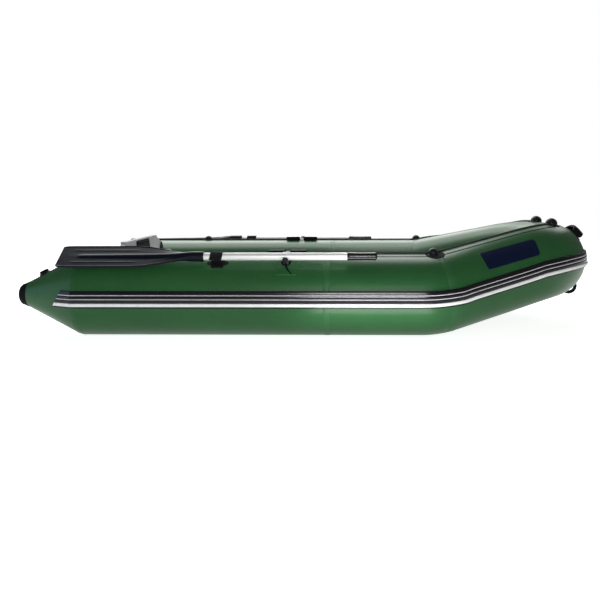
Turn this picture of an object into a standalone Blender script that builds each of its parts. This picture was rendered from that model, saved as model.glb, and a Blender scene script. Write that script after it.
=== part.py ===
"""Inflatable motor boat with stowed oars, a transom board, sliding benches and a slat floor."""

import math

import bmesh
import bpy
from mathutils import Matrix, Vector

# Driving sizes in metres, angles in degrees. +X is the bow, -Y is starboard, +Z is up.
seat_gap = 0.0004
slide_gap = 0.0003
cut_overrun = 0.004
smooth_angle = 35.0

# Side tubes: a stern cone, a straight stretch, a bend, a leg and the round nose.
tube_radius = 0.190
bow_radius = 0.183
half_track = 0.505
straight_length = 1.590
stern_panel_length = 1.152
side_bend_radius = 0.240
bend_angle = 25.2
nose_bend_radius = 0.324
rise_angle = 12.0
crown_length = 0.180
tube_facets = 36
bend_steps = 6
nose_steps = 10

# Stern cones and their caps.
cone_length = 0.280
cone_end_radius = 0.0477
cone_end_round = 0.006
cap_wall = 0.003
cap_cover = 0.0085
cap_tip = 0.028
cap_round_steps = 5

# Rubbing strake, measured across the tube from its widest line.
strake_top = 0.038
strake_bottom = 0.040
strake_proud = 0.009
strake_groove_depth = 0.003
strake_groove_width = 0.0026
strake_edge = 0.006
strake_thin = 0.002
upper_groove_at = 0.016
lower_groove_at = 0.0
bead_top = 0.0165
bead_width = 0.0155
bead_proud = 0.0125
bead_floor = 0.003
bead_shoulder = 0.0075
bead_steps = 4
lip_proud = 0.007
strake_end_top = 0.039
strake_end_bottom = 0.082

# Bottom sheet and slat floor.
sheet_angle = 63.4
sheet_thickness = 0.003
sheet_behind_transom = 0.050
floor_start = 0.240
slat_count = 10
slat_width = 0.098
slat_space = 0.018
slat_thickness = 0.009
web_thickness = 0.003
floor_side_gap = 0.010

# Transom board, its holders, pads and drain.
transom_at = 0.184
transom_rake = 6.0
transom_thickness = 0.025
transom_above_tubes = 0.045
transom_horn = 0.005
transom_shoulder_angle = 70.0
holder_wall = 0.004
holder_flange = 0.006
holder_depth = 0.032
holder_top_angle = 60.0
holder_lift = 0.005
pad_width = 0.250
pad_height = 0.240
pad_thickness = 0.006
pad_below_top = 0.008
pad_corner = 0.012
drain_height = 0.078
drain_bore = 0.012
drain_barrel = 0.0165
drain_flange = 0.026
drain_flange_thickness = 0.004
drain_nut_radius = 0.024
drain_nut_thickness = 0.006
plug_head_radius = 0.0155
plug_head_thickness = 0.006
plug_length = 0.022
drain_facets = 20
nut_sides = 6

# Benches and the channel rails that they slide in.
bench_above_middle = 0.098
bench_thickness = 0.012
bench_depth = 0.220
bench_corner = 0.018
corner_steps = 4
rear_bench_at = 0.540
front_bench_at = 1.160
rail_start = 0.300
rail_end = 1.500
rail_lip_reach = 0.028
rail_lip = 0.007
rail_web = 0.004
rail_foot = 0.012

# Grab line and its fittings, stations measured along the tube from the cone.
rope_radius = 0.00475
rope_angle = 86.0
aft_fitting_at = 0.412
forward_fitting_at = 1.660
bow_fitting_before_nose = 0.165
fitting_angle = 82.0
dome_radius = 0.026
dome_height = 0.028
bow_dome_radius = 0.034
bow_dome_height = 0.034
dome_steps = 5
dome_facets = 20
rope_sides = 8
eye_clearance = 0.0012
rope_end_depth = 0.008

# Oars, seen along the tube: the shaft lies above the tube's shoulder.
shoulder_angle = 55.5
oar_clearance = 0.039
rowlock_at = 0.969
shaft_radius = 0.0170
shaft_aft_end = 0.425
shaft_fore_end = 0.400
spigot_radius = 0.0145
spigot_length = 0.105
blade_neck_end = 0.374
socket_radius = 0.0230
socket_depth = 0.055
blade_tip = 1.032
blade_half_width = 0.0825
blade_half_thickness = 0.0028
blade_rim = 0.0045
blade_rim_width = 0.007
spine_half_width = 0.020
spine_height = 0.0105
grip_radius = 0.0180
grip_length = 0.130
grip_end_wall = 0.012
grip_waist = 0.0166
grip_shares = (0.1, 0.3, 0.5, 0.7, 0.9)
shaft_facets = 20

# Rowlock: a base on the tube, a swivelling fork and a bolt with a knob.
socket_boss_radius = 0.019
pivot_pin_radius = 0.0085
pivot_pin_depth = 0.010
boss_height = 0.0130
fork_plate = 0.0060
fork_wall = 0.0042
fork_width = 0.024
fork_above_shaft = 0.010
bolt_radius = 0.0040
bolt_head_radius = 0.0075
bolt_head_height = 0.005
bolt_tip = 0.009
knob_radius = 0.0145
knob_height = 0.016
knob_facets = 20
bolt_facets = 12
boss_facets = 20
base_half_length = 0.047
base_low_angle = 34.0
base_high_angle = 82.5
base_thickness = 0.005
lug_gap = 0.027
lug_length = 0.075
lug_height = 0.021
lug_undercut = 0.014
lug_low_angle = 79.0
lug_high_angle = 96.0

# Oar clip: a C that opens the way the oar swings out, with a long upper lip.
clip_at = 0.657
clip_length = 0.056
clip_wall = 0.0038
clip_upper_lip = 0.041
clip_lower_lip = 0.012
clip_arc_steps = 8
clip_stem_half = 0.009
clip_foot_half = 0.030
clip_foot = 0.007
clip_clearance = 0.0008

# Bow handle, tow eye and their patches.
handle_angle = 44.0
handle_half_length = 0.075
handle_pad_half_width = 0.036
handle_pad_thickness = 0.006
handle_bar_half_width = 0.027
handle_bar_thickness = 0.010
handle_finger_height = 0.024
handle_foot = 0.020
handle_steps = 12
eye_angle = -50.0
eye_half_width = 0.006
eye_reach = 0.034
eye_half_length = 0.034
eye_bar = 0.009
eye_pad_half = 0.045
eye_pad_thickness = 0.004
eye_plate = 0.005
eye_plate_half = 0.014
eye_steps = 8

# Valves on the cones.
valve_at = -0.183
valve_angle = 92.0
valve_flange_radius = 0.027
valve_flange_height = 0.006
valve_barrel_radius = 0.0195
valve_barrel_depth = 0.034
valve_bore_radius = 0.0130
valve_bore_depth = 0.030
valve_cap_radius = 0.0215
valve_cap_height = 0.011
valve_spigot_radius = 0.0126
valve_spigot_depth = 0.012
valve_facets = 24

# Directions in the boat's frame.
bow_axis = Vector((1, 0, 0))
port_axis = Vector((0, 1, 0))
up_axis = Vector((0, 0, 1))

# Values that follow from the sizes above.
bend = math.radians(bend_angle)
rise = math.tan(math.radians(rise_angle))
bend_setback = side_bend_radius * math.tan(bend / 2)
leg_length = (half_track - nose_bend_radius * math.cos(bend)) / math.sin(bend) - bend_setback
bend_start = straight_length
bend_end = bend_start + side_bend_radius * bend
leg_end = bend_end + leg_length
nose_end = leg_end + nose_bend_radius * (math.pi / 2 - bend)
nose_step = (nose_end - leg_end) / nose_steps
transom_top = 2 * tube_radius + transom_above_tubes
transom_top_half_width = half_track - tube_radius + transom_horn
bench_underside = tube_radius + bench_above_middle
oar_height = tube_radius + oar_clearance
boss_top = tube_radius + boss_height
cone_slope = (tube_radius - cone_end_radius) / cone_length
facet = 360 / tube_facets


def tube_plan(s):
    """Place and heading of the starboard tube's centre line, seen from above."""
    x = min(s, bend_start)
    y = -half_track
    turn = min(max(s - bend_start, 0) / side_bend_radius, bend)
    x += side_bend_radius * math.sin(turn)
    y += side_bend_radius * (1 - math.cos(turn))
    leg = min(max(s - bend_end, 0), leg_length)
    x += leg * math.cos(bend)
    y += leg * math.sin(bend)
    heading = turn
    if s > leg_end:
        heading = bend + (s - leg_end) / nose_bend_radius
        x += nose_bend_radius * (math.sin(heading) - math.sin(bend))
        y += nose_bend_radius * (math.cos(bend) - math.cos(heading))
    return x, y, heading


def tube_rise(s):
    """Height and slope of the centre line: level, then rising, then level again at the nose."""
    knots = ((bend_start, 0), (bend_end, rise), (leg_end, rise), (leg_end + crown_length, 0))
    height = tube_radius
    slope = 0
    for (start, slope_a), (stop, slope_b) in zip(knots, knots[1:]):
        run = min(max(s - start, 0), stop - start)
        here = slope_a + (slope_b - slope_a) * run / (stop - start)
        height += run * (slope_a + here) / 2
        if s > start:
            slope = here
    return height, slope


def radius_at(s):
    if s < 0:
        return tube_radius + cone_slope * max(s, -cone_length)
    share = min(max(s - bend_start, 0) / (nose_end - bend_start), 1)
    return tube_radius + (bow_radius - tube_radius) * share


stern_reach = cone_length + cap_tip
bow_reach = tube_plan(nose_end)[0] + bow_radius + seat_gap + bead_proud
centre_shift = (stern_reach - bow_reach) / 2


def tube_frame(s):
    """Centre, forward, outboard and upward directions of the starboard tube at a station."""
    x, y, heading = tube_plan(s)
    height, slope = tube_rise(s)
    forward = Vector((math.cos(heading), math.sin(heading), slope)).normalized()
    outboard = Vector((math.sin(heading), -math.cos(heading), 0))
    return Vector((x + centre_shift, y, height)), forward, outboard, outboard.cross(forward)


def around_tube(s, angle, reach):
    """A point at an angle up from the outboard line, at a distance from the centre line."""
    centre, _, outboard, up = tube_frame(s)
    turn = math.radians(angle)
    return centre + reach * (math.cos(turn) * outboard + math.sin(turn) * up)


def on_tube(s, angle, above=0):
    return around_tube(s, angle, radius_at(s) + above)


def seat_angles(low, high):
    """The angles of a seat's corners, with every corner of the faceted tube between them."""
    first = math.floor(low / facet) + 1
    last = math.ceil(high / facet)
    return [low] + [k * facet for k in range(first, last)] + [high]


def stations(start, stop):
    """Stations from start to stop, with every ring that the curved stretches need."""
    bends = [bend_start + (bend_end - bend_start) * k / bend_steps for k in range(bend_steps + 1)]
    noses = [leg_end + nose_step * k for k in range(nose_steps)]
    inner = [s for s in [0] + bends + noses if start + cut_overrun < s < stop - cut_overrun]
    return [start] + inner + [stop]


def material(name, colour, roughness, metallic=0.0):
    made = bpy.data.materials.new(name)
    made.use_nodes = True
    shader = made.node_tree.nodes["Principled BSDF"]
    shader.inputs["Base Color"].default_value = (*colour, 1)
    shader.inputs["Roughness"].default_value = roughness
    shader.inputs["Metallic"].default_value = metallic
    return made


def remove_old_objects():
    for old in list(bpy.data.objects):
        bpy.data.objects.remove(old)


def finish(mesh, name, finish_material, side=1, origin=None):
    """Turns a bmesh into a named object; side -1 mirrors it to port."""
    fours = [face for face in mesh.faces if len(face.verts) == 4]
    bmesh.ops.triangulate(mesh, faces=fours, quad_method="SHORT_EDGE")
    if side < 0:
        for vert in mesh.verts:
            vert.co.y = -vert.co.y
    bmesh.ops.recalc_face_normals(mesh, faces=mesh.faces)
    if mesh.calc_volume(signed=True) < 0:
        bmesh.ops.reverse_faces(mesh, faces=mesh.faces)
    place = Vector(origin) if origin is not None else Vector()
    if side < 0:
        place.y = -place.y
    bmesh.ops.translate(mesh, verts=mesh.verts, vec=-place)
    data = bpy.data.meshes.new(name)
    mesh.to_mesh(data)
    mesh.free()
    made = bpy.data.objects.new(name, data)
    made.location = place
    if finish_material:
        data.materials.append(finish_material)
        data.shade_smooth()
        data.set_sharp_from_angle(angle=math.radians(smooth_angle))
    bpy.context.scene.collection.objects.link(made)
    return made


def loft(rings):
    """A closed skin through rings of as many points each, with flat ends."""
    mesh = bmesh.new()
    rows = [[mesh.verts.new(point) for point in ring] for ring in rings]
    count = len(rows[0])
    for row, ahead in zip(rows, rows[1:]):
        for k in range(count):
            after = (k + 1) % count
            mesh.faces.new((row[k], row[after], ahead[after], ahead[k]))
    mesh.faces.new(rows[0])
    mesh.faces.new(rows[-1])
    return mesh


def lathe(profile, foot, axis, spoke, segments, ring=False):
    """Turns a profile of (radius, height) about an axis; a ring profile closes on itself."""
    mesh = bmesh.new()
    across = axis.cross(spoke)
    rows = []
    for radius, height in profile:
        if radius == 0:
            rows.append([mesh.verts.new(foot + axis * height)])
            continue
        turns = [2 * math.pi * k / segments for k in range(segments)]
        rows.append([
            mesh.verts.new(foot + axis * height + radius * (math.cos(t) * spoke + math.sin(t) * across))
            for t in turns
        ])
    pairs = list(zip(rows, rows[1:]))
    if ring:
        pairs.append((rows[-1], rows[0]))
    for row, ahead in pairs:
        for k in range(segments):
            after = (k + 1) % segments
            corners = [row[k % len(row)], row[after % len(row)]]
            corners += [ahead[after % len(ahead)], ahead[k % len(ahead)]]
            unique = list(dict.fromkeys(corners))
            mesh.faces.new(unique)
    return mesh


def prism(outline, foot, along, up, out, low, high):
    """An outline in the plane of along and up, pushed out from low to high."""
    rings = [[foot + along * a + up * b + out * depth for a, b in outline] for depth in (low, high)]
    return loft(rings)


def boolean(target, tool, operation):
    """Cuts or joins one object with a helper object, and removes the helper."""
    step = target.modifiers.new(operation.lower(), "BOOLEAN")
    step.operation = operation
    step.object = tool
    bpy.context.view_layer.update()
    result = bpy.data.meshes.new_from_object(target.evaluated_get(bpy.context.evaluated_depsgraph_get()))
    target.modifiers.remove(step)
    result.name = target.name
    target.data = result
    bpy.data.objects.remove(tool)


def cut(target, mesh, side=1):
    boolean(target, finish(mesh, "cutter", None, side), "DIFFERENCE")


def join(target, mesh, side=1):
    boolean(target, finish(mesh, "addition", None, side), "UNION")


def tube_rings(start, stop, above=0):
    angles = [k * facet for k in range(tube_facets)]
    return [[on_tube(s, angle, above) for angle in angles] for s in stations(start, stop)]


def tube_cutter(start, stop):
    """The tube with its seat gap, to shape the underside of what is glued on it."""
    return loft(tube_rings(start, stop, seat_gap))


def curved_pad(start, stop, low_angle, high_angle, thickness):
    """A sheet that follows the tube between two stations and two angles."""
    angles = seat_angles(low_angle, high_angle)
    return loft([
        [on_tube(s, angle, seat_gap) for angle in angles]
        + [on_tube(s, angle, seat_gap + thickness) for angle in reversed(angles)]
        for s in stations(start, stop)
    ])


def make_tubes(side, name, green):
    ends = {
        "stern": (-cone_length, stern_panel_length - slide_gap / 2),
        "mid": (stern_panel_length + slide_gap / 2, bend_start - slide_gap / 2),
        "bow": (bend_start + slide_gap / 2, nose_end - slide_gap / 2),
    }
    made = {}
    for panel, (start, stop) in ends.items():
        rings = tube_rings(start, stop)
        if panel == "stern":
            centre, forward, _, _ = tube_frame(start)
            shrink = 1 - cone_end_round / cone_end_radius
            back = forward * cone_end_round
            rings.insert(0, [centre - back + (p - centre) * shrink for p in rings[0]])
        made[panel] = finish(loft(rings), f"{name}_{panel}_tube", green, side)
    return made


def make_cone_cap(side, name, rubber):
    """A rubber cup glued over the end of the cone."""
    foot, forward, outboard, _ = tube_frame(0)
    rim = cone_length - cap_cover
    end = cone_length + cone_end_round + seat_gap
    rim_radius = radius_at(-rim)
    tip = cone_length + cap_tip
    shoulder = radius_at(-cone_length) + cap_wall
    profile = [(0, end), (cone_end_radius - cone_end_round + seat_gap, end),
               (cone_end_radius + seat_gap, cone_length), (rim_radius + seat_gap, rim),
               (rim_radius + cap_wall, rim), (shoulder, cone_length)]
    for k in range(1, cap_round_steps):
        turn = math.pi / 2 * k / cap_round_steps
        profile.append((shoulder * math.cos(turn), cone_length + cap_tip * math.sin(turn)))
    profile.append((0, tip))
    mesh = lathe(profile, foot, -forward, outboard, tube_facets)
    finish(mesh, f"{name}_cone_cap", rubber, side)


def strake_outline():
    """The ribbed face of the strake, top to bottom, as (distance across the tube, height)."""
    low = strake_proud - strake_groove_depth
    half = strake_groove_width / 2
    points = [(strake_top, strake_thin), (strake_top - strake_edge, strake_proud)]
    for at in (upper_groove_at, lower_groove_at):
        points += [(at + half + strake_groove_depth / 2, strake_proud), (at + half, low),
                   (at - half, low), (at - half - strake_groove_depth / 2, strake_proud)]
    points += [(-bead_top, strake_proud), (-bead_top, bead_floor),
               (-bead_top - bead_width, bead_floor), (-bead_top - bead_width, lip_proud),
               (-strake_bottom + strake_thin, lip_proud - strake_thin), (-strake_bottom, strake_thin)]
    return points


def bead_outline():
    """The white bead, lying in its channel of the strake."""
    centre = -bead_top - bead_width / 2
    half = bead_width / 2 - seat_gap
    floor = bead_floor + seat_gap
    points = [(centre + half, floor)]
    for k in range(bead_steps + 1):
        turn = math.pi * k / bead_steps
        rise_here = (bead_proud - bead_shoulder) * math.sin(turn)
        points.append((centre + half * math.cos(turn), bead_shoulder + rise_here))
    return points + [(centre - half, floor)]


def strake_rings(outline, seated):
    """Rings of a strip along the tube, with its stern end cut on a slant."""
    lean = (strake_end_bottom - strake_end_top) / (strake_top + strake_bottom)
    rings = []
    for s in stations(-strake_end_bottom, nose_end - slide_gap / 2):
        first = s == -strake_end_bottom
        ring = []
        for across, height in outline:
            at = -strake_end_top - (strake_top - across) * lean if first else s
            ring.append(on_tube(at, math.degrees(across / radius_at(at)), seat_gap + height))
        if seated:
            for across_angle in (-facet, 0, facet):
                across = math.radians(across_angle) * radius_at(s)
                at = -strake_end_top - (strake_top - across) * lean if first else s
                ring.append(on_tube(at, across_angle, seat_gap))
        rings.append(ring)
    return rings


def make_strake(side, name, rubber, white):
    face = [(strake_top, 0)] + strake_outline() + [(-strake_bottom, 0)]
    finish(loft(strake_rings(face, True)), f"{name}_strake", rubber, side)
    finish(loft(strake_rings(bead_outline(), False)), f"{name}_strake_bead", white, side)


def make_bottom_sheet(fabric):
    """The sheet glued under both tubes, from behind the transom to the nose."""
    rings = []
    upper = 180 + sheet_angle
    start = transom_at - sheet_behind_transom
    for s in stations(start, nose_end - nose_step):
        lower = upper + math.degrees(sheet_thickness / radius_at(s) / math.cos(math.radians(sheet_angle)))
        top = on_tube(s, upper, seat_gap)
        under = on_tube(s, lower, seat_gap)
        rings.append([top, Vector((top.x, -top.y, top.z)), Vector((under.x, -under.y, under.z)), under])
    finish(loft(rings), "bottom_sheet", fabric)


def sheet_top():
    return on_tube(transom_at, 180 + sheet_angle, seat_gap).z


def tube_side_at(height, reach):
    """How far from the boat's middle the side tube's inner face lies at a height."""
    return half_track - math.sqrt(reach ** 2 - (height - tube_radius) ** 2)


def make_slat_floor(fabric):
    """Wooden slats sewn on a web that rolls up, drawn as one comb."""
    base = sheet_top() + seat_gap
    outline = [(floor_start, base)]
    for k in range(slat_count):
        near = floor_start + k * (slat_width + slat_space)
        far = near + slat_width
        outline += [(near, base + slat_thickness), (far, base + slat_thickness)]
        if k < slat_count - 1:
            outline += [(far, base + web_thickness), (far + slat_space, base + web_thickness)]
    outline.append((far, base))
    width = tube_side_at(base + slat_thickness, tube_radius) - floor_side_gap
    foot = Vector((centre_shift, 0, 0))
    mesh = prism(outline, foot, bow_axis, up_axis, port_axis, -width, width)
    finish(mesh, "slat_floor", fabric)


def transom_x(height):
    """Middle of the raked board at a height."""
    return transom_at + centre_shift - height * math.tan(math.radians(transom_rake))


def board_half_depth():
    return transom_thickness / 2 / math.cos(math.radians(transom_rake))


def make_transom(wood):
    """The board that carries the engine, with round sides that fit between the tubes."""
    reach = tube_radius + seat_gap + holder_wall + seat_gap
    bottom = sheet_top() + seat_gap
    low = 180 + math.degrees(math.asin((tube_radius - bottom) / reach))
    high = 180 - transom_shoulder_angle
    steps = sorted(seat_angles(high, low) + [holder_foot_angle(tube_radius + seat_gap + holder_wall)])
    outline = []
    for angle in reversed(steps):
        turn = math.radians(angle)
        outline.append((-half_track - reach * math.cos(turn), tube_radius + reach * math.sin(turn)))
    outline.append((-transom_top_half_width, transom_top))
    outline += [(-y, z) for y, z in reversed(outline)]
    half = board_half_depth()
    rings = [[Vector((transom_x(z) + depth, y, z)) for y, z in outline] for depth in (-half, half)]
    return finish(loft(rings), "transom_board", wood)


def holder_foot_angle(reach):
    """Where the holder ends, just above the sheet, at a distance from the tube's middle."""
    base = sheet_top() + holder_lift
    return 180 + math.degrees(math.asin((tube_radius - base) / reach))


def make_holder(side, name, rubber):
    """A channel glued to the tube that grips the board's edge."""
    half = board_half_depth()
    inner = tube_radius + seat_gap
    wall = inner + holder_wall
    outer = half + seat_gap + holder_flange
    section = [(inner, -outer), (inner + holder_depth, -outer), (inner + holder_depth, -half - seat_gap),
               (wall, -half - seat_gap), (wall, half + seat_gap),
               (inner + holder_depth, half + seat_gap), (inner + holder_depth, outer), (inner, outer)]
    rings = []
    for angle in seat_angles(180 - holder_top_angle, holder_foot_angle(inner) + facet / 2):
        turn = math.radians(angle)
        ring = []
        for reach, depth in section:
            z = tube_radius + reach * math.sin(turn)
            ring.append(Vector((transom_x(z) + depth, -half_track - reach * math.cos(turn), z)))
        rings.append(ring)
    holder = finish(loft(rings), f"{name}_transom_holder", rubber, side)
    foot = Vector((transom_x(0), 0, sheet_top() + holder_lift))
    deep = -tube_radius
    below = [(-holder_depth, 0), (holder_depth, 0), (holder_depth, deep), (-holder_depth, deep)]
    cut(holder, prism(below, foot, bow_axis, up_axis, port_axis, -half_track, half_track))


def board_axes():
    rake = math.radians(transom_rake)
    upward = Vector((-math.sin(rake), 0, math.cos(rake)))
    aft = Vector((-math.cos(rake), 0, -math.sin(rake)))
    return upward, aft


def make_motor_pads(rubber):
    """Pads where an engine's clamp bears, one on each face of the board."""
    upward, aft = board_axes()
    middle = transom_top - pad_below_top - pad_height / 2
    foot = Vector((transom_x(middle), 0, middle))
    half_width = pad_width / 2
    half_height = pad_height / 2
    outline = []
    for across, up in ((1, 1), (-1, 1), (-1, -1), (1, -1)):
        near = (across * (half_width - pad_corner), up * half_height)
        far = (across * half_width, up * (half_height - pad_corner))
        outline += [far, near] if across * up > 0 else [near, far]
    for name, face in (("outer_motor_pad", aft), ("inner_motor_pad", -aft)):
        near = transom_thickness / 2 + slide_gap
        mesh = prism(outline, foot, port_axis, upward, face, near, near + pad_thickness)
        finish(mesh, name, rubber)


def drain_hole(foot, aft, across):
    radius = drain_barrel + slide_gap
    reach = transom_thickness
    profile = [(0, -reach), (radius, -reach), (radius, reach), (0, reach)]
    return lathe(profile, foot, aft, across, drain_facets)


def make_drain(board, plastic, rubber):
    """A drain through the board, with a nut in front and a plug behind."""
    upward, aft = board_axes()
    across = port_axis
    foot = Vector((transom_x(drain_height), 0, drain_height))
    half = transom_thickness / 2
    cut(board, drain_hole(foot, aft, across))
    front = -half - drain_nut_thickness - slide_gap
    behind = half + slide_gap + drain_flange_thickness
    body = [(drain_bore, front), (drain_barrel, front), (drain_barrel, half + slide_gap),
            (drain_flange, half + slide_gap), (drain_flange, behind), (drain_bore, behind)]
    finish(lathe(body, foot, aft, across, drain_facets, ring=True), "drain_valve_body", plastic)
    nut = finish(lathe([(0, front), (drain_nut_radius, front), (drain_nut_radius, -half - slide_gap),
                        (0, -half - slide_gap)], foot, aft, across, nut_sides), "drain_valve_nut", plastic)
    cut(nut, drain_hole(foot, aft, across))
    stem = drain_bore - slide_gap
    seat = behind + slide_gap
    plug = [(0, seat - plug_length), (stem, seat - plug_length), (stem, seat), (plug_head_radius, seat),
            (plug_head_radius, seat + plug_head_thickness), (0, seat + plug_head_thickness)]
    mesh = lathe(plug, foot, aft, across, drain_facets)
    finish(mesh, "drain_plug", rubber, origin=foot)


def bench_half_width():
    return tube_side_at(bench_underside - slide_gap, tube_radius + seat_gap + rail_web) - slide_gap


def make_rail(side, name, plastic):
    """A channel glued along the tube that a bench's end slides in."""
    low_slot = bench_underside - slide_gap
    high_slot = bench_underside + bench_thickness + slide_gap
    bottom = low_slot - rail_lip
    top = high_slot + rail_lip
    reach = tube_radius + seat_gap
    deep = -bench_half_width() - slide_gap
    lip_end = -bench_half_width() + rail_lip_reach
    bottom_angle = 180 - math.degrees(math.asin((bottom - rail_foot - tube_radius) / reach))
    top_angle = 180 - math.degrees(math.asin((top + rail_foot - tube_radius) / reach))
    section = []
    for angle in seat_angles(top_angle, bottom_angle):
        turn = math.radians(angle)
        section.append((-half_track - reach * math.cos(turn), tube_radius + reach * math.sin(turn)))
    section += [(-tube_side_at(bottom, reach + rail_web), bottom),
                (lip_end, bottom), (lip_end, low_slot), (deep, low_slot),
                (deep, high_slot), (lip_end, high_slot), (lip_end, top),
                (-tube_side_at(top, reach) + rail_web, top)]
    rings = [[Vector((at + centre_shift, y, z)) for y, z in section] for at in (rail_start, rail_end)]
    finish(loft(rings), f"{name}_seat_rail", plastic, side)


def make_bench(name, at, wood):
    """A plywood board with round corners, its ends in the rails."""
    outline = []
    for across, along in ((1, 1), (-1, 1), (-1, -1), (1, -1)):
        centre = (across * (bench_half_width() - bench_corner), along * (bench_depth / 2 - bench_corner))
        start = math.atan2(along, across) - math.pi / 4
        for k in range(corner_steps + 1):
            turn = start + math.pi / 2 * k / corner_steps
            corner = (bench_corner * math.cos(turn), bench_corner * math.sin(turn))
            outline.append((centre[0] + corner[0], centre[1] + corner[1]))
    foot = Vector((at + centre_shift, 0, bench_underside))
    mesh = prism(outline, foot, port_axis, bow_axis, up_axis, 0, bench_thickness)
    finish(mesh, name, wood, origin=foot)


def rope_ring(s, radius):
    """A ring round the grab line's centre at a station."""
    _, _, outboard, up = tube_frame(s)
    turn = math.radians(rope_angle)
    out = math.cos(turn) * outboard + math.sin(turn) * up
    across = math.sin(turn) * outboard - math.cos(turn) * up
    middle = on_tube(s, rope_angle, seat_gap + rope_radius)
    turns = [2 * math.pi * k / rope_sides for k in range(rope_sides)]
    return [middle + radius * (math.cos(t) * across + math.sin(t) * out) for t in turns]


def make_grab_line(side, name, rope):
    """The rope that lies along the tube's crest, held by its fittings."""
    places = stations(aft_fitting_at - rope_end_depth, nose_end - bow_fitting_before_nose + rope_end_depth)
    rings = [rope_ring(s, rope_radius) for s in places]
    finish(loft(rings), f"{name}_grab_line", rope, side)


def rope_tunnel(start, stop):
    """Room for the rope and a little play, along the tube's crest."""
    return loft([rope_ring(s, rope_radius + eye_clearance) for s in stations(start, stop)])


def make_line_fitting(side, name, at, radius, height, tunnel, plastic):
    """A moulded dome beside the tube's crest with a tunnel for the rope; tunnel gives its two ends."""
    _, forward, outboard, up = tube_frame(at)
    turn = math.radians(fitting_angle)
    out = math.cos(turn) * outboard + math.sin(turn) * up
    profile = [(0, -cut_overrun), (radius, -cut_overrun)]
    for k in range(dome_steps):
        rise_turn = math.pi / 2 * k / dome_steps
        profile.append((radius * math.cos(rise_turn), height * math.sin(rise_turn)))
    profile.append((0, height))
    dome = finish(lathe(profile, on_tube(at, fitting_angle), out, forward, dome_facets), name, plastic, side)
    cut(dome, rope_tunnel(at + tunnel[0], at + tunnel[1]), side)
    cut(dome, tube_cutter(at - 3 * radius, at + 3 * radius), side)


def make_line_fittings(side, name, plastic):
    through = 2 * dome_radius
    closed = rope_end_depth + eye_clearance
    small = (dome_radius, dome_height)
    large = (bow_dome_radius, bow_dome_height)
    bow_at = nose_end - bow_fitting_before_nose
    bow_through = 2 * bow_dome_radius
    fittings = (("aft", aft_fitting_at, small, (-closed, through)),
                ("forward", forward_fitting_at, small, (-through, through)),
                ("bow", bow_at, large, (-bow_through, closed)))
    for place, at, (radius, height), tunnel in fittings:
        make_line_fitting(side, f"{name}_{place}_line_fitting", at, radius, height, tunnel, plastic)


def oar_axes():
    """Where the oar lies: the shoulder's outward direction and the way the blade swings."""
    turn = math.radians(shoulder_angle)
    out = Vector((0, -math.cos(turn), math.sin(turn)))
    swing = Vector((0, -math.sin(turn), -math.cos(turn)))
    return out, swing


def oar_point(at, height=0, swing_by=0):
    """A point at a station, a height above the tube's centre line and a swing offset."""
    out, swing = oar_axes()
    return Vector((at + centre_shift, -half_track, tube_radius)) + out * height + swing * swing_by


def make_rowlock_base(side, name, rubber):
    """A saddle on the tube with a socket for the fork and two lugs beside the crest."""
    out, _ = oar_axes()
    start = rowlock_at - base_half_length
    stop = rowlock_at + base_half_length
    base = finish(curved_pad(start, stop, base_low_angle, base_high_angle, base_thickness),
                  f"{name}_rowlock_base", rubber, side)
    foot = oar_point(rowlock_at)
    low = tube_radius + base_thickness / 2
    profile = [(0, low), (socket_boss_radius, low), (socket_boss_radius, boss_top), (0, boss_top)]
    boss = lathe(profile, foot, out, bow_axis, boss_facets)
    join(base, boss, side)
    for way in (1, -1):
        join(base, make_lug(way), side)
    bore = pivot_pin_radius + slide_gap
    bottom = boss_top - pivot_pin_depth - slide_gap
    above = boss_top + cut_overrun
    profile = [(0, bottom), (bore, bottom), (bore, above), (0, above)]
    hole = lathe(profile, foot, out, bow_axis, boss_facets)
    cut(base, hole, side)
    reach = base_half_length + lug_length
    cut(base, rope_tunnel(rowlock_at - reach, rowlock_at + reach), side)


def make_lug(way):
    """One lug: full height by the gap, its outer end undercut."""
    near = lug_gap / 2
    far = near + lug_length
    low = seat_gap
    rings = []
    for at, bottom in ((near, low), (far - lug_undercut, low), (far, low + lug_height / 2)):
        s = rowlock_at + way * at
        angles = seat_angles(lug_low_angle, lug_high_angle)
        ring = [on_tube(s, angle, bottom) for angle in angles]
        ring += [on_tube(s, angle, seat_gap + lug_height) for angle in reversed(angles)]
        rings.append(ring)
    return loft(rings)


def make_fork(side, name, metal):
    """The swivelling fork: a pin in the socket, a plate and two arms beside the shaft."""
    out, swing = oar_axes()
    along = bow_axis
    inner = shaft_radius + slide_gap
    outer = inner + fork_wall
    plate_low = boss_top + slide_gap
    plate_high = plate_low + fork_plate
    arm_top = oar_height + fork_above_shaft
    half = fork_width / 2
    outline = [(-outer, plate_low), (outer, plate_low), (outer, arm_top), (inner, arm_top),
               (inner, plate_high), (-inner, plate_high), (-inner, arm_top), (-outer, arm_top)]
    foot = oar_point(rowlock_at)
    plate = prism(outline, foot, swing, out, along, -half, half)
    fork = finish(plate, f"{name}_rowlock_fork", metal, side, foot)
    pin = lathe([(0, boss_top - pivot_pin_depth), (pivot_pin_radius, boss_top - pivot_pin_depth),
                 (pivot_pin_radius, plate_low + fork_plate / 2), (0, plate_low + fork_plate / 2)],
                foot, out, along, boss_facets)
    join(fork, pin, side)
    cut(fork, bolt_hole(outer + cut_overrun), side)
    return fork


def bolt_hole(reach):
    _, swing = oar_axes()
    radius = bolt_radius + slide_gap
    return lathe([(0, -reach), (radius, -reach), (radius, reach), (0, reach)],
                 oar_point(rowlock_at, oar_height), swing, bow_axis, bolt_facets)


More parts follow.
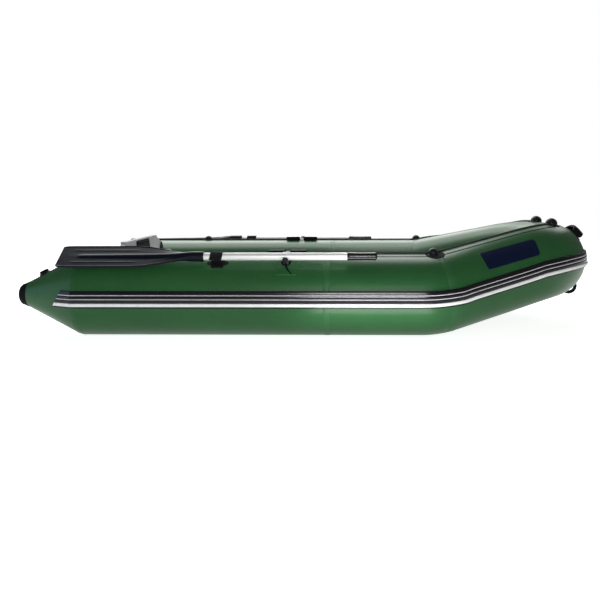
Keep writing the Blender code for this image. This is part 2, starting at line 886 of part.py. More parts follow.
def make_bolt_and_knob(side, name, metal, plastic):
    """A bolt through fork and shaft, its knob on the outboard side."""
    _, swing = oar_axes()
    foot = oar_point(rowlock_at, oar_height)
    along = bow_axis
    arm = shaft_radius + slide_gap + fork_wall + slide_gap
    head = -arm - bolt_head_height
    tip = arm + bolt_tip
    bolt = [(0, head), (bolt_head_radius, head), (bolt_head_radius, -arm),
            (bolt_radius, -arm), (bolt_radius, tip), (0, tip)]
    finish(lathe(bolt, foot, swing, along, bolt_facets), f"{name}_rowlock_bolt", metal, side, foot)
    bore = bolt_radius + slide_gap
    round_off = knob_radius / 4
    bottom = tip + slide_gap
    knob = [(0, bottom), (bore, bottom), (bore, arm), (knob_radius - round_off / 2, arm),
            (knob_radius, arm + round_off), (knob_radius, arm + knob_height - round_off),
            (knob_radius - round_off, arm + knob_height), (0, arm + knob_height)]
    finish(lathe(knob, foot, swing, along, knob_facets), f"{name}_rowlock_knob", plastic, side, foot)


def make_shaft(side, name, metal):
    """The oar's tube, with thinner ends inside the blade's socket and the grip."""
    out, swing = oar_axes()
    foot = oar_point(rowlock_at, oar_height)
    aft = -shaft_aft_end
    fore = shaft_fore_end
    profile = [(0, aft), (shaft_radius, aft), (shaft_radius, fore - spigot_length),
               (spigot_radius, fore - spigot_length), (spigot_radius, fore), (0, fore)]
    turned = lathe(profile, foot, bow_axis, out, shaft_facets)
    shaft = finish(turned, f"{name}_oar_shaft", metal, side, foot)
    cut(shaft, bolt_hole(shaft_radius + cut_overrun), side)


def make_grip(side, name, plastic):
    """A moulded sleeve on the shaft's forward end, drawn in along its middle."""
    out, _ = oar_axes()
    foot = oar_point(rowlock_at, oar_height)
    start = shaft_fore_end - spigot_length + slide_gap
    end = shaft_fore_end + slide_gap
    stop = end + grip_end_wall
    bore = spigot_radius + slide_gap
    profile = [(0, end), (bore, end), (bore, start), (grip_radius, start)]
    for share in grip_shares:
        at = start + (stop - start) * share
        waist = grip_waist + (grip_radius - grip_waist) * abs(2 * share - 1)
        profile.append((waist, at))
    profile += [(grip_radius, stop - grip_end_wall / 2), (grip_waist, stop), (0, stop)]
    finish(lathe(profile, foot, bow_axis, out, shaft_facets), f"{name}_oar_grip", plastic, side, foot)


def blade_section(at, half_width, roundness, spine_share):
    """One section of the blade: a web with rims and a spine that turns round at the socket."""
    rim = half_width - blade_rim_width
    spine = spine_half_width * (1 + roundness) * spine_share
    tall = max(spine_height * spine_share, blade_half_thickness)
    web = blade_half_thickness
    face = [(-half_width, 0), (-half_width, blade_rim), (-rim, blade_rim), (-rim, web), (-spine, web),
            (-spine / 2, tall), (spine / 2, tall), (spine, web), (rim, web), (rim, blade_rim),
            (half_width, blade_rim), (half_width, 0)]
    whole = face + [(across, -up) for across, up in reversed(face[1:-1])]
    ring = []
    for k, (across, up) in enumerate(whole):
        around = math.pi * (1 - k / (len(face) - 1))
        across += (socket_radius * math.cos(around) - across) * roundness
        up += (socket_radius * math.sin(around) - up) * roundness
        ring.append(oar_point(rowlock_at - at, oar_height + up, across))
    return ring


def make_blade(side, name, plastic):
    """The blade and its socket in one moulding."""
    neck = blade_neck_end
    length = blade_tip - neck
    rings = []
    for share, width_share, roundness_share, spine_share in blade_shares:
        half_width = blade_half_width * width_share
        rings.append(blade_section(neck + length * share, half_width, roundness_share, spine_share))
    blade = finish(loft(rings), f"{name}_oar_blade", plastic, side, oar_point(rowlock_at, oar_height))
    out, _ = oar_axes()
    foot = oar_point(rowlock_at, oar_height)
    radius = shaft_radius + slide_gap
    bore = lathe([(0, -neck - socket_depth), (radius, -neck - socket_depth), (radius, -neck + cut_overrun),
                  (0, -neck + cut_overrun)], foot, bow_axis, out, shaft_facets)
    cut(blade, bore, side)


# Along the blade from its neck: place, width, roundness and spine, as shares.
blade_shares = (
    (0.0, 0.28, 1.0, 1.0),
    (0.08, 0.28, 1.0, 1.0),
    (0.14, 0.38, 0.7, 1.0),
    (0.20, 0.55, 0.35, 1.0),
    (0.29, 0.75, 0.1, 1.0),
    (0.39, 0.92, 0.0, 0.95),
    (0.49, 1.0, 0.0, 0.85),
    (0.84, 1.0, 0.0, 0.5),
    (0.88, 1.0, 0.0, 0.05),
    (0.965, 0.99, 0.0, 0.0),
    (0.99, 0.94, 0.0, 0.0),
    (1.0, 0.86, 0.0, 0.0),
)


def make_oar_clip(side, name, rubber):
    """A C clip on a foot; it opens outboard, and its upper lip reaches over the shaft."""
    out, swing = oar_axes()
    inner = shaft_radius + clip_clearance
    outer = inner + clip_wall
    arc = [math.pi / 2 + math.pi * k / clip_arc_steps for k in range(clip_arc_steps + 1)]
    inside = [(inner * math.cos(t), inner * math.sin(t)) for t in arc]
    outside = [(outer * math.cos(t), outer * math.sin(t)) for t in reversed(arc)]
    outline = [(clip_upper_lip, inner)] + inside + [(clip_lower_lip, -inner), (clip_lower_lip, -outer)]
    outline += outside + [(clip_upper_lip, outer)]
    foot = oar_point(clip_at, oar_height)
    along = bow_axis
    half = clip_length / 2
    clip = finish(prism(outline, foot, swing, out, along, -half, half), f"{name}_oar_clip", rubber, side)
    deep = tube_radius - oar_height - cut_overrun
    drop = outer - clip_wall / 2
    wide = clip_stem_half
    stem = [(-wide, -drop), (wide, -drop), (wide, deep), (-wide, deep)]
    join(clip, prism(stem, foot, swing, out, along, -half, half), side)
    half_foot = math.degrees(clip_foot_half / tube_radius)
    base = curved_pad(clip_at - half, clip_at + half, shoulder_angle - half_foot, shoulder_angle + half_foot,
                      clip_foot)
    join(clip, base, side)
    cut(clip, tube_cutter(clip_at - clip_length, clip_at + clip_length), side)


def across_nose(offset, angle, above):
    """A point on the nose, counted along the tube from the boat's middle line."""
    point = on_tube(nose_end - abs(offset), angle, above)
    if offset > 0:
        point.y = -point.y
    return point


def nose_strip(offsets, middle_angle, half_width, low, high):
    """A strip across the nose; low and high give its under and upper side at each offset."""
    rings = []
    for offset in offsets:
        spread = math.degrees(half_width / bow_radius)
        angles = seat_angles(middle_angle - spread, middle_angle + spread)
        ring = [across_nose(offset, angle, low(offset)) for angle in angles]
        ring += [across_nose(offset, angle, high(offset)) for angle in reversed(angles)]
        rings.append(ring)
    return loft(rings)


def nose_offsets(half, steps):
    """Offsets across the nose, with every ring of the tube between them."""
    rings = [k * nose_step for k in range(-nose_steps, nose_steps + 1)]
    evens = [half * (2 * k / steps - 1) for k in range(steps + 1)]
    return sorted(set(evens + [r for r in rings if abs(r) < half - cut_overrun]))


def make_bow_handle(rubber):
    """A patch across the front of the nose, and an arched grip on it."""
    top = seat_gap + handle_pad_thickness
    reach = handle_half_length
    pad = nose_strip(nose_offsets(reach, handle_steps), handle_angle, handle_pad_half_width,
                     lambda offset: seat_gap, lambda offset: top)
    finish(pad, "bow_handle_patch", rubber)
    span = reach - handle_foot / 2

    def arch(offset):
        share = min(abs(offset) / span, 1)
        return handle_finger_height * (1 - share ** 4)

    grip = nose_strip(nose_offsets(span, handle_steps), handle_angle, handle_bar_half_width,
                      lambda offset: top + seat_gap + arch(offset),
                      lambda offset: top + arch(offset) + handle_bar_thickness)
    finish(grip, "bow_handle", rubber)


def make_tow_eye(rubber, fabric):
    """A patch under the nose and an eye in the boat's middle plane."""
    pad = nose_strip(nose_offsets(eye_pad_half, eye_steps), eye_angle, eye_pad_half,
                     lambda offset: seat_gap, lambda offset: seat_gap + eye_pad_thickness)
    finish(pad, "tow_eye_patch", fabric)
    centre, _, outboard, up = tube_frame(nose_end)
    turn = math.radians(eye_angle)
    out = math.cos(turn) * outboard + math.sin(turn) * up
    along = -math.sin(turn) * outboard + math.cos(turn) * up
    out.y = 0
    along.y = 0
    foot = Vector((centre.x, 0, centre.z)) + out * (bow_radius + seat_gap + eye_pad_thickness)
    rings = []
    for k in range(eye_steps + 1):
        turn = math.pi * k / eye_steps
        middle = foot + along * (eye_half_length * math.cos(turn)) + out * (eye_reach * math.sin(turn))
        radial = (along * math.cos(turn) + out * math.sin(turn)).normalized()
        across = port_axis * eye_half_width
        near = middle - radial * (eye_bar / 2)
        far = middle + radial * (eye_bar / 2)
        rings.append([near - across, far - across, far + across, near + across])
    eye = finish(loft(rings), "tow_eye", rubber)
    plate = [(-eye_half_length - eye_bar, -cut_overrun), (eye_half_length + eye_bar, -cut_overrun),
             (eye_half_length + eye_bar, eye_plate), (-eye_half_length - eye_bar, eye_plate)]
    join(eye, prism(plate, foot, along, out, port_axis, -eye_plate_half, eye_plate_half))
    above = seat_gap + eye_pad_thickness + seat_gap
    cutter = nose_strip(nose_offsets(eye_pad_half, eye_steps), eye_angle, eye_pad_half + cut_overrun,
                        lambda offset: -cut_overrun * 3, lambda offset: above)
    cut(eye, cutter)


def make_valve(side, name, tube, plastic, rubber):
    """An air valve set into the cone, with its twist-off cap."""
    slope = math.atan(cone_slope)
    _, forward, outboard, up = tube_frame(valve_at)
    turn = math.radians(valve_angle)
    radial = math.cos(turn) * outboard + math.sin(turn) * up
    axis = (radial * math.cos(slope) - forward * math.sin(slope)).normalized()
    spoke = axis.cross(radial.cross(forward)).normalized()
    foot = on_tube(valve_at, valve_angle)
    hole_radius = valve_barrel_radius + slide_gap
    deep = valve_barrel_depth
    bottom = -deep - slide_gap
    hole = [(0, bottom), (hole_radius, bottom), (hole_radius, deep), (0, deep)]
    cut(tube, lathe(hole, foot, axis, spoke, valve_facets), side)
    top = valve_flange_height
    skirt = -valve_flange_height
    floor = top - valve_bore_depth
    profile = [(0, -deep), (valve_barrel_radius, -deep), (valve_barrel_radius, skirt),
               (valve_flange_radius, skirt), (valve_flange_radius, top * 2 / 3),
               (valve_flange_radius - top / 3, top), (valve_bore_radius, top),
               (valve_bore_radius, floor), (0, floor)]
    body = finish(lathe(profile, foot, axis, spoke, valve_facets), f"{name}_valve_body", plastic, side)
    cut(body, pierced_cone(foot, axis, spoke), side)
    seat = top + slide_gap
    height = seat + valve_cap_height
    cap = [(0, seat - valve_spigot_depth), (valve_spigot_radius, seat - valve_spigot_depth),
           (valve_spigot_radius, seat), (valve_cap_radius, seat), (valve_cap_radius, height - top / 3),
           (valve_cap_radius - top / 2, height), (0, height)]
    finish(lathe(cap, foot, axis, spoke, valve_facets), f"{name}_valve_cap", rubber, side, foot)


def pierced_cone(foot, axis, spoke):
    """The cone with its seat gap and the barrel's hole, to shape the valve's flange."""
    around = valve_flange_radius + cut_overrun
    cone = finish(tube_cutter(valve_at - 2 * around, valve_at + 2 * around), "cone", None)
    radius = valve_barrel_radius
    high = valve_barrel_depth
    low = -2 * high
    profile = [(0, low), (radius, low), (radius, high), (0, high)]
    cut(cone, lathe(profile, foot, axis, spoke, valve_facets))
    mesh = bmesh.new()
    mesh.from_mesh(cone.data)
    bpy.data.objects.remove(cone)
    return mesh


def main():
    remove_old_objects()
    green = material("tube_green", (0.035, 0.11, 0.045), 0.38)
    dark = material("bottom_green", (0.02, 0.05, 0.025), 0.5)
    rubber = material("black_rubber", (0.015, 0.015, 0.018), 0.55)
    white = material("white_bead", (0.85, 0.86, 0.86), 0.4)
    plastic = material("black_plastic", (0.012, 0.014, 0.018), 0.35)
    blade = material("blade_plastic", (0.012, 0.017, 0.026), 0.4)
    metal = material("aluminium", (0.86, 0.86, 0.85), 0.25, 1.0)
    steel = material("steel", (0.55, 0.55, 0.56), 0.3, 1.0)
    wood = material("plywood", (0.16, 0.15, 0.15), 0.5)
    bench_wood = material("bench_plywood", (0.33, 0.27, 0.19), 0.45)
    fabric = material("floor_fabric", (0.05, 0.055, 0.06), 0.7)
    rope = material("black_rope", (0.01, 0.01, 0.01), 0.8)

    make_bottom_sheet(dark)
    make_slat_floor(fabric)
    board = make_transom(wood)
    make_motor_pads(rubber)
    make_drain(board, plastic, rubber)
    make_bench("rear_bench", rear_bench_at, bench_wood)
    make_bench("front_bench", front_bench_at, bench_wood)
    make_bow_handle(rubber)
    make_tow_eye(rubber, dark)
    for side, name in ((1, "starboard"), (-1, "port")):
        tubes = make_tubes(side, name, green)
        make_cone_cap(side, name, rubber)
        make_strake(side, name, rubber, white)
        make_holder(side, name, rubber)
        make_rail(side, name, plastic)
        make_grab_line(side, name, rope)
        make_line_fittings(side, name, plastic)
        make_rowlock_base(side, name, rubber)
        make_fork(side, name, steel)
        make_bolt_and_knob(side, name, steel, plastic)
        make_shaft(side, name, metal)
        make_grip(side, name, plastic)
        make_blade(side, name, blade)
        make_oar_clip(side, name, rubber)
        make_valve(side, name, tubes["stern"], plastic, rubber)


main()
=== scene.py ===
"""Inflatable motor boat, dressed over its CAD frame: coated fabric tubes, rubber, rope and oars."""

import math

import bmesh
import bpy
from mathutils import Matrix, Vector, noise


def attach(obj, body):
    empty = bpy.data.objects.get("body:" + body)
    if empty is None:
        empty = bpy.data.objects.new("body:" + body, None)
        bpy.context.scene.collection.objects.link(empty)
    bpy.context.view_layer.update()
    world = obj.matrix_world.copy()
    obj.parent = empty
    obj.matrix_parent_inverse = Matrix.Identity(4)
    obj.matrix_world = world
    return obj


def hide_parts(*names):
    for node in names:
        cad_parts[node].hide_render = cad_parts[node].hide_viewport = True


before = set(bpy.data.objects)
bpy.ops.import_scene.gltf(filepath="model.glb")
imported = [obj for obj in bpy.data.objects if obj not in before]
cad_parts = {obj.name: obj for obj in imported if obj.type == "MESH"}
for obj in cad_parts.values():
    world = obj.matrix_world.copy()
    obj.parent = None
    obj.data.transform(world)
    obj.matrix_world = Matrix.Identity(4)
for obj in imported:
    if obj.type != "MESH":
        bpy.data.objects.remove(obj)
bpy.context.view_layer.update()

# Sizes shared with the part's source, in metres and degrees.
seat_gap = 0.0004
slide_gap = 0.0003
tube_radius = 0.190
bow_radius = 0.183
half_track = 0.505
straight_length = 1.590
stern_panel_length = 1.152
side_bend_radius = 0.240
bend_angle = 25.2
nose_bend_radius = 0.324
rise_angle = 12.0
crown_length = 0.180
cone_length = 0.280
cone_end_radius = 0.0477
cone_end_round = 0.006
cap_wall = 0.003
cap_cover = 0.0085
cap_tip = 0.028
strake_top = 0.038
strake_bottom = 0.040
strake_proud = 0.009
bead_top = 0.0165
bead_width = 0.0155
bead_proud = 0.0125
bead_floor = 0.003
sheet_angle = 63.4
sheet_thickness = 0.003
transom_at = 0.184
sheet_behind_transom = 0.050
floor_start = 0.240
slat_count = 10
slat_width = 0.098
slat_space = 0.018
slat_thickness = 0.009
floor_side_gap = 0.010
rope_radius = 0.00475
aft_fitting_at = 0.412
forward_fitting_at = 1.660
bow_fitting_before_nose = 0.165
rope_end_depth = 0.008
shoulder_angle = 55.5
oar_height = 0.229
rowlock_at = 0.969
shaft_radius = 0.0170
socket_radius = 0.0230
blade_tip = 1.032
blade_neck_end = 0.374
blade_half_width = 0.0825

# How finely the dressed pieces are divided.
tube_sides = 160
ring_spacing = 0.012
bend_rings = 16
skin_ring_spacing = 0.009

# Values that follow from the sizes above.
bend = math.radians(bend_angle)
rise = math.tan(math.radians(rise_angle))
bend_setback = side_bend_radius * math.tan(bend / 2)
leg_length = (half_track - nose_bend_radius * math.cos(bend)) / math.sin(bend) - bend_setback
bend_start = straight_length
bend_end = bend_start + side_bend_radius * bend
leg_end = bend_end + leg_length
nose_end = leg_end + nose_bend_radius * (math.pi / 2 - bend)
cone_slope = (tube_radius - cone_end_radius) / cone_length


def tube_plan(s):
    """Place and heading of the starboard tube's centre line, seen from above."""
    x = min(s, bend_start)
    y = -half_track
    turn = min(max(s - bend_start, 0) / side_bend_radius, bend)
    x += side_bend_radius * math.sin(turn)
    y += side_bend_radius * (1 - math.cos(turn))
    leg = min(max(s - bend_end, 0), leg_length)
    x += leg * math.cos(bend)
    y += leg * math.sin(bend)
    heading = turn
    if s > leg_end:
        heading = bend + (s - leg_end) / nose_bend_radius
        x += nose_bend_radius * (math.sin(heading) - math.sin(bend))
        y += nose_bend_radius * (math.cos(bend) - math.cos(heading))
    return x, y, heading


def tube_rise(s):
    """Height and slope of the centre line: level, then rising, then level again at the nose."""
    knots = ((bend_start, 0), (bend_end, rise), (leg_end, rise), (leg_end + crown_length, 0))
    height = tube_radius
    slope = 0
    for (start, slope_a), (stop, slope_b) in zip(knots, knots[1:]):
        run = min(max(s - start, 0), stop - start)
        here = slope_a + (slope_b - slope_a) * run / (stop - start)
        height += run * (slope_a + here) / 2
        if s > start:
            slope = here
    return height, slope


def radius_at(s):
    if s < 0:
        return tube_radius + cone_slope * max(s, -cone_length)
    share = min(max(s - bend_start, 0) / (nose_end - bend_start), 1)
    return tube_radius + (bow_radius - tube_radius) * share


stern_reach = cone_length + cap_tip
bow_reach = tube_plan(nose_end)[0] + bow_radius + seat_gap + bead_proud
centre_shift = (stern_reach - bow_reach) / 2
bow_axis = Vector((1, 0, 0))
port_axis = Vector((0, 1, 0))
up_axis = Vector((0, 0, 1))


def tube_frame(s):
    """Centre, forward, outboard and upward directions of the starboard tube at a station."""
    x, y, heading = tube_plan(s)
    height, slope = tube_rise(s)
    forward = Vector((math.cos(heading), math.sin(heading), slope)).normalized()
    outboard = Vector((math.sin(heading), -math.cos(heading), 0))
    return Vector((x + centre_shift, y, height)), forward, outboard, outboard.cross(forward)


def tube_axes(s, angle):
    """Forward, outward and sideways directions of the tube's skin at a place."""
    _, forward, outboard, up = tube_frame(s)
    turn = math.radians(angle)
    out = math.cos(turn) * outboard + math.sin(turn) * up
    return forward, out, out.cross(forward)


def around_tube(s, angle, reach):
    """A point at an angle up from the outboard line, at a distance from the centre line."""
    centre, _, outboard, up = tube_frame(s)
    turn = math.radians(angle)
    return centre + reach * (math.cos(turn) * outboard + math.sin(turn) * up)


def on_tube(s, angle, above=0):
    return around_tube(s, angle, radius_at(s) + above)


def evenly(start, stop, spacing):
    """Values from start to stop, about a spacing apart."""
    count = max(1, round(abs(stop - start) / spacing))
    return [start + (stop - start) * k / count for k in range(count + 1)]


def stations(start, stop, spacing=ring_spacing):
    """Stations from start to stop, closer together where the tube bends."""
    marks = [start] + [s for s in (0, bend_start, bend_end, leg_end) if start < s < stop] + [stop]
    places = [start]
    for near, far in zip(marks, marks[1:]):
        bent = near >= leg_end or bend_start <= near < bend_end
        step = spacing if not bent else min(spacing, (bend_end - bend_start) / bend_rings)
        places += evenly(near, far, step)[1:]
    return places


def ease(value, start, stop):
    """Rises smoothly from 0 at start to 1 at stop."""
    share = min(max((value - start) / (stop - start), 0), 1)
    return share * share * (3 - 2 * share)


def round_turns(count):
    """Angles evenly spaced round a full turn."""
    return [2 * math.pi * k / count for k in range(count)]


def arc(middle_a, middle_b, radius_a, radius_b, start, stop, steps):
    """Points along an arc in a plane, from one angle to another in radians."""
    turns = [start + (stop - start) * k / steps for k in range(steps + 1)]
    return [(middle_a + radius_a * math.cos(t), middle_b + radius_b * math.sin(t)) for t in turns]


def rounded_rectangle(half_a, half_b, corner, steps):
    """A rectangle's outline with round corners."""
    outline = []
    quarter = math.pi / 2
    for a, b in ((1, 1), (-1, 1), (-1, -1), (1, -1)):
        middle = (a * (half_a - corner), b * (half_b - corner))
        start = math.atan2(b, a) - quarter / 2
        outline += arc(*middle, corner, corner, start, start + quarter, steps)
    return outline


def skinned(rows, joined=False):
    """A skin between rows of points: one point makes a tip, and joined rows close on themselves."""
    mesh = bmesh.new()
    rows = [[mesh.verts.new(point) for point in row] for row in rows]
    count = max(len(row) for row in rows)
    for row, ahead in zip(rows, rows[1:] + (rows[:1] if joined else [])):
        for k in range(count):
            after = (k + 1) % count
            near = (row[k % len(row)], row[after % len(row)])
            far = (ahead[after % len(ahead)], ahead[k % len(ahead)])
            mesh.faces.new(list(dict.fromkeys(near + far)))
    return mesh


def loft(rings):
    """A skin through rings of as many points each, with flat ends."""
    mesh = skinned(rings)
    mesh.verts.ensure_lookup_table()
    count = len(rings[0])
    mesh.faces.new(mesh.verts[:count])
    mesh.faces.new(mesh.verts[-count:])
    return mesh


def lathe(profile, foot, axis, spoke, segments, ring=False):
    """Turns a profile of (radius, height) about an axis; a ring profile closes on itself."""
    across = axis.cross(spoke)
    spokes = [math.cos(t) * spoke + math.sin(t) * across for t in round_turns(segments)]
    rows = []
    for radius, height in profile:
        rows.append([foot + axis * height + radius * way for way in (spokes if radius else spokes[:1])])
    return skinned(rows, ring)


def prism(outline, foot, along, up, out, low, high):
    """An outline in the plane of along and up, pushed out from low to high."""
    return loft([[foot + along * a + up * b + out * depth for a, b in outline] for depth in (low, high)])


def in_scene(name, data):
    """A new object for a mesh, a light or a camera."""
    made = bpy.data.objects.new(name, data)
    bpy.context.scene.collection.objects.link(made)
    return made


def as_object(mesh, name, side=1):
    """Turns a bmesh into an object with outward faces; side -1 mirrors it to port."""
    if side < 0:
        for vert in mesh.verts:
            vert.co.y = -vert.co.y
    bmesh.ops.recalc_face_normals(mesh, faces=mesh.faces)
    if mesh.calc_volume(signed=True) < 0:
        bmesh.ops.reverse_faces(mesh, faces=mesh.faces)
    data = bpy.data.meshes.new(name)
    mesh.to_mesh(data)
    mesh.free()
    return in_scene(name, data)


def settled(made, step):
    """Keeps the plain mesh that a piece's modifier gives, and removes the modifier."""
    bpy.context.view_layer.update()
    graph = bpy.context.evaluated_depsgraph_get()
    result = bpy.data.meshes.new_from_object(made.evaluated_get(graph))
    made.modifiers.remove(step)
    made.data = result
    return made


def applied(made, kind, **settings):
    """Adds a modifier, applies it and removes it."""
    step = made.modifiers.new(kind.lower(), kind)
    for key, value in settings.items():
        setattr(step, key, value)
    return settled(made, step)


def cut(target, mesh, side=1):
    """Cuts a piece with a helper mesh."""
    tool = as_object(mesh, "cutter", side)
    applied(target, "BOOLEAN", operation="DIFFERENCE", object=tool)
    bpy.data.objects.remove(tool)


def softened(made, width, segments=2, angle=30):
    """Rounds a piece's sharp edges."""
    return applied(made, "BEVEL", width=width, segments=segments, limit_method="ANGLE",
                   angle_limit=math.radians(angle), harden_normals=False, miter_outer="MITER_ARC")


def dressed(made, finish, *nodes, body="hull", slot=None, smooth=40):
    """Gives a finished piece its finish, its smooth shading, its body and the CAD it stands for."""
    made.data.materials.clear()
    made.data.materials.append(finishes[finish])
    made.data.shade_smooth()
    made.data.set_sharp_from_angle(angle=math.radians(smooth))
    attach(made, body)
    if nodes:
        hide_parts(*nodes)
    return made


def merged(made, *parts):
    """Puts loose closed shells into one object."""
    mesh = bmesh.new()
    mesh.from_mesh(made.data)
    for part in parts:
        mesh.from_mesh(part.data)
        bpy.data.objects.remove(part)
    mesh.to_mesh(made.data)
    mesh.free()
    return made


# Depths of the finishes' fine relief, in metres.
thread_relief = 0.00003
slack_relief = 0.0012
film_relief = 0.00006
pit_relief = 0.00005
fine_pit_relief = 0.00004
run_relief = 0.00006
filament_relief = 0.0003
grain_relief = 0.00006
polish_relief = 0.00003
drawn_relief = 0.00004
brush_relief = 0.00005
wood_relief = 0.00012
weave_relief = 0.0003
lay_relief = 0.0002


class Finish:
    """A Principled material whose pattern reads Object coordinates."""

    def __init__(self, name, roughness, metallic=0.0):
        self.made = bpy.data.materials.new(name)
        self.made.use_nodes = True
        self.nodes = self.made.node_tree.nodes
        self.links = self.made.node_tree.links
        self.shader = self.nodes["Principled BSDF"]
        self.shader.inputs["Roughness"].default_value = roughness
        self.shader.inputs["Metallic"].default_value = metallic
        self.height = None

    def constant(self, **sockets):
        """Sets plain numbers on the shader's own sockets."""
        for name, value in sockets.items():
            self.shader.inputs[name.replace("_", " ")].default_value = value
        return self

    def pattern(self, kind, stretch=(1, 1, 1), coordinates="Object", **sockets):
        """A procedural texture over the piece's own coordinates."""
        where = self.nodes.new("ShaderNodeTexCoord")
        mapping = self.nodes.new("ShaderNodeMapping")
        node = self.nodes.new(kind)
        mapping.inputs["Scale"].default_value = stretch
        self.links.new(where.outputs[coordinates], mapping.inputs["Vector"])
        self.links.new(mapping.outputs["Vector"], node.inputs["Vector"])
        for name, value in sockets.items():
            node.inputs[name].default_value = value
        return node

    def noise(self, scale, detail, rough, stretch=(1, 1, 1), distortion=0.0, coordinates="Object"):
        return self.pattern("ShaderNodeTexNoise", stretch, coordinates, Scale=scale, Detail=detail,
                            Roughness=rough, Distortion=distortion).outputs["Fac"]

    def wave(self, scale, direction):
        node = self.pattern("ShaderNodeTexWave", Scale=scale, Distortion=0.0, Detail=2)
        node.bands_direction = direction
        return node.outputs["Fac"]

    def feed(self, node, values):
        """Gives a node's numbered inputs a plain number or another node's output."""
        for place, value in values.items():
            if isinstance(value, (int, float)):
                node.inputs[place].default_value = value
            else:
                self.links.new(value, node.inputs[place])

    def math(self, operation, first, second):
        node = self.nodes.new("ShaderNodeMath")
        node.operation = operation
        self.feed(node, {0: first, 1: second})
        return node.outputs[0]

    def ramp(self, factor, stops):
        """A colour ramp; stops are (place, colour) with the colour in linear light."""
        node = self.nodes.new("ShaderNodeValToRGB")
        ramp = node.color_ramp
        while len(ramp.elements) < len(stops):
            ramp.elements.new(0.5)
        for element, (place, colour) in zip(ramp.elements, stops):
            element.position = place
            element.color = (*colour, 1)
        self.links.new(factor, node.inputs["Fac"])
        return node.outputs["Color"]

    def mix(self, factor, first, second):
        """Two colours laid over each other by a number or a pattern."""
        node = self.nodes.new("ShaderNodeMix")
        node.data_type = "RGBA"
        self.feed(node, {0: factor, 6: first, 7: second})
        return node.outputs[2]

    def colour(self, socket):
        self.links.new(socket, self.shader.inputs["Base Color"])
        return self

    def gloss(self, factor, low, high):
        """Roughness between two values, by a pattern."""
        node = self.nodes.new("ShaderNodeMapRange")
        self.links.new(factor, node.inputs["Value"])
        node.inputs["To Min"].default_value = low
        node.inputs["To Max"].default_value = high
        self.links.new(node.outputs["Result"], self.shader.inputs["Roughness"])
        return self

    def bump(self, height, distance, strength=1.0):
        """Adds relief; several calls lie over each other."""
        node = self.nodes.new("ShaderNodeBump")
        node.inputs["Distance"].default_value = distance
        node.inputs["Strength"].default_value = strength
        self.links.new(height, node.inputs["Height"])
        if self.height:
            self.links.new(self.height, node.inputs["Normal"])
        self.height = node.outputs["Normal"]
        self.links.new(self.height, self.shader.inputs["Normal"])
        return self


def shade(colour, factor):
    return tuple(channel * factor for channel in colour)


def coated_fabric(name, base, rough_low, rough_high, coat):
    """Coated boat fabric: soft mottling, faint threads and a smooth film over them."""
    finish = Finish(name, rough_low)
    mottle = finish.noise(5.0, 5, 0.6)
    speck = finish.noise(160.0, 3, 0.6)
    broad = finish.ramp(mottle, [(0.3, shade(base, 0.9)), (0.7, shade(base, 1.12))])
    fine = finish.ramp(speck, [(0.35, shade(base, 0.86)), (0.65, shade(base, 1.14))])
    finish.colour(finish.mix(0.3, broad, fine))
    finish.gloss(finish.noise(9.0, 4, 0.6), rough_low, rough_high)
    threads = finish.math("ADD", finish.wave(420.0, "X"), finish.wave(420.0, "Z"))
    finish.bump(threads, thread_relief, 0.35)
    finish.bump(finish.noise(7.0, 2, 0.4), slack_relief, 0.35)
    finish.bump(speck, film_relief, 0.4)
    return finish.constant(Coat_Weight=coat, Coat_Roughness=0.22, Specular_IOR_Level=0.3).made


def moulded_rubber(name, base, rough_low, rough_high):
    """Black rubber with a dusty bloom and a fine pitted skin."""
    finish = Finish(name, rough_low)
    bloom = finish.noise(18.0, 6, 0.65)
    finish.colour(finish.ramp(bloom, [(0.3, base), (0.75, shade(base, 1.9))]))
    finish.gloss(bloom, rough_low, rough_high)
    finish.bump(finish.noise(900.0, 2, 0.5), pit_relief, 0.5)
    return finish.constant(Specular_IOR_Level=0.04).made


def strake_rubber():
    """Extruded rubber with a soft sheen and faint lines along its run."""
    finish = Finish("strake_rubber", 0.15)
    bloom = finish.noise(11.0, 5, 0.6, stretch=(0.25, 0.25, 3))
    finish.colour(finish.ramp(bloom, [(0.3, (0.005, 0.005, 0.006)), (0.8, (0.012, 0.011, 0.015))]))
    finish.gloss(bloom, 0.11, 0.19)
    finish.bump(finish.noise(60.0, 3, 0.6, stretch=(0.05, 0.05, 8)), run_relief, 0.4)
    finish.bump(finish.noise(800.0, 2, 0.5), fine_pit_relief, 0.4)
    return finish.constant(IOR=1.42).made


def pale_rubber(name, soiled, clean):
    """Pale extruded rubber, a little soiled in places."""
    finish = Finish(name, 0.38)
    grime = finish.noise(24.0, 6, 0.7)
    finish.colour(finish.ramp(grime, [(0.3, soiled), (0.6, clean)]))
    finish.gloss(grime, 0.5, 0.3)
    return finish.bump(finish.noise(500.0, 2, 0.5), fine_pit_relief, 0.4).made


def twisted_rope():
    """Black polyester strands: fine filaments run along each strand's own length."""
    finish = Finish("twisted_rope", 0.62)
    fibres = finish.noise(1.0, 3, 0.6, stretch=(60, 1400, 1), coordinates="UV")
    finish.colour(finish.ramp(fibres, [(0.3, (0.006, 0.006, 0.007)), (0.8, (0.035, 0.034, 0.036))]))
    finish.bump(fibres, filament_relief, 0.7)
    return finish.constant(Sheen_Weight=0.3, Sheen_Roughness=0.4).made


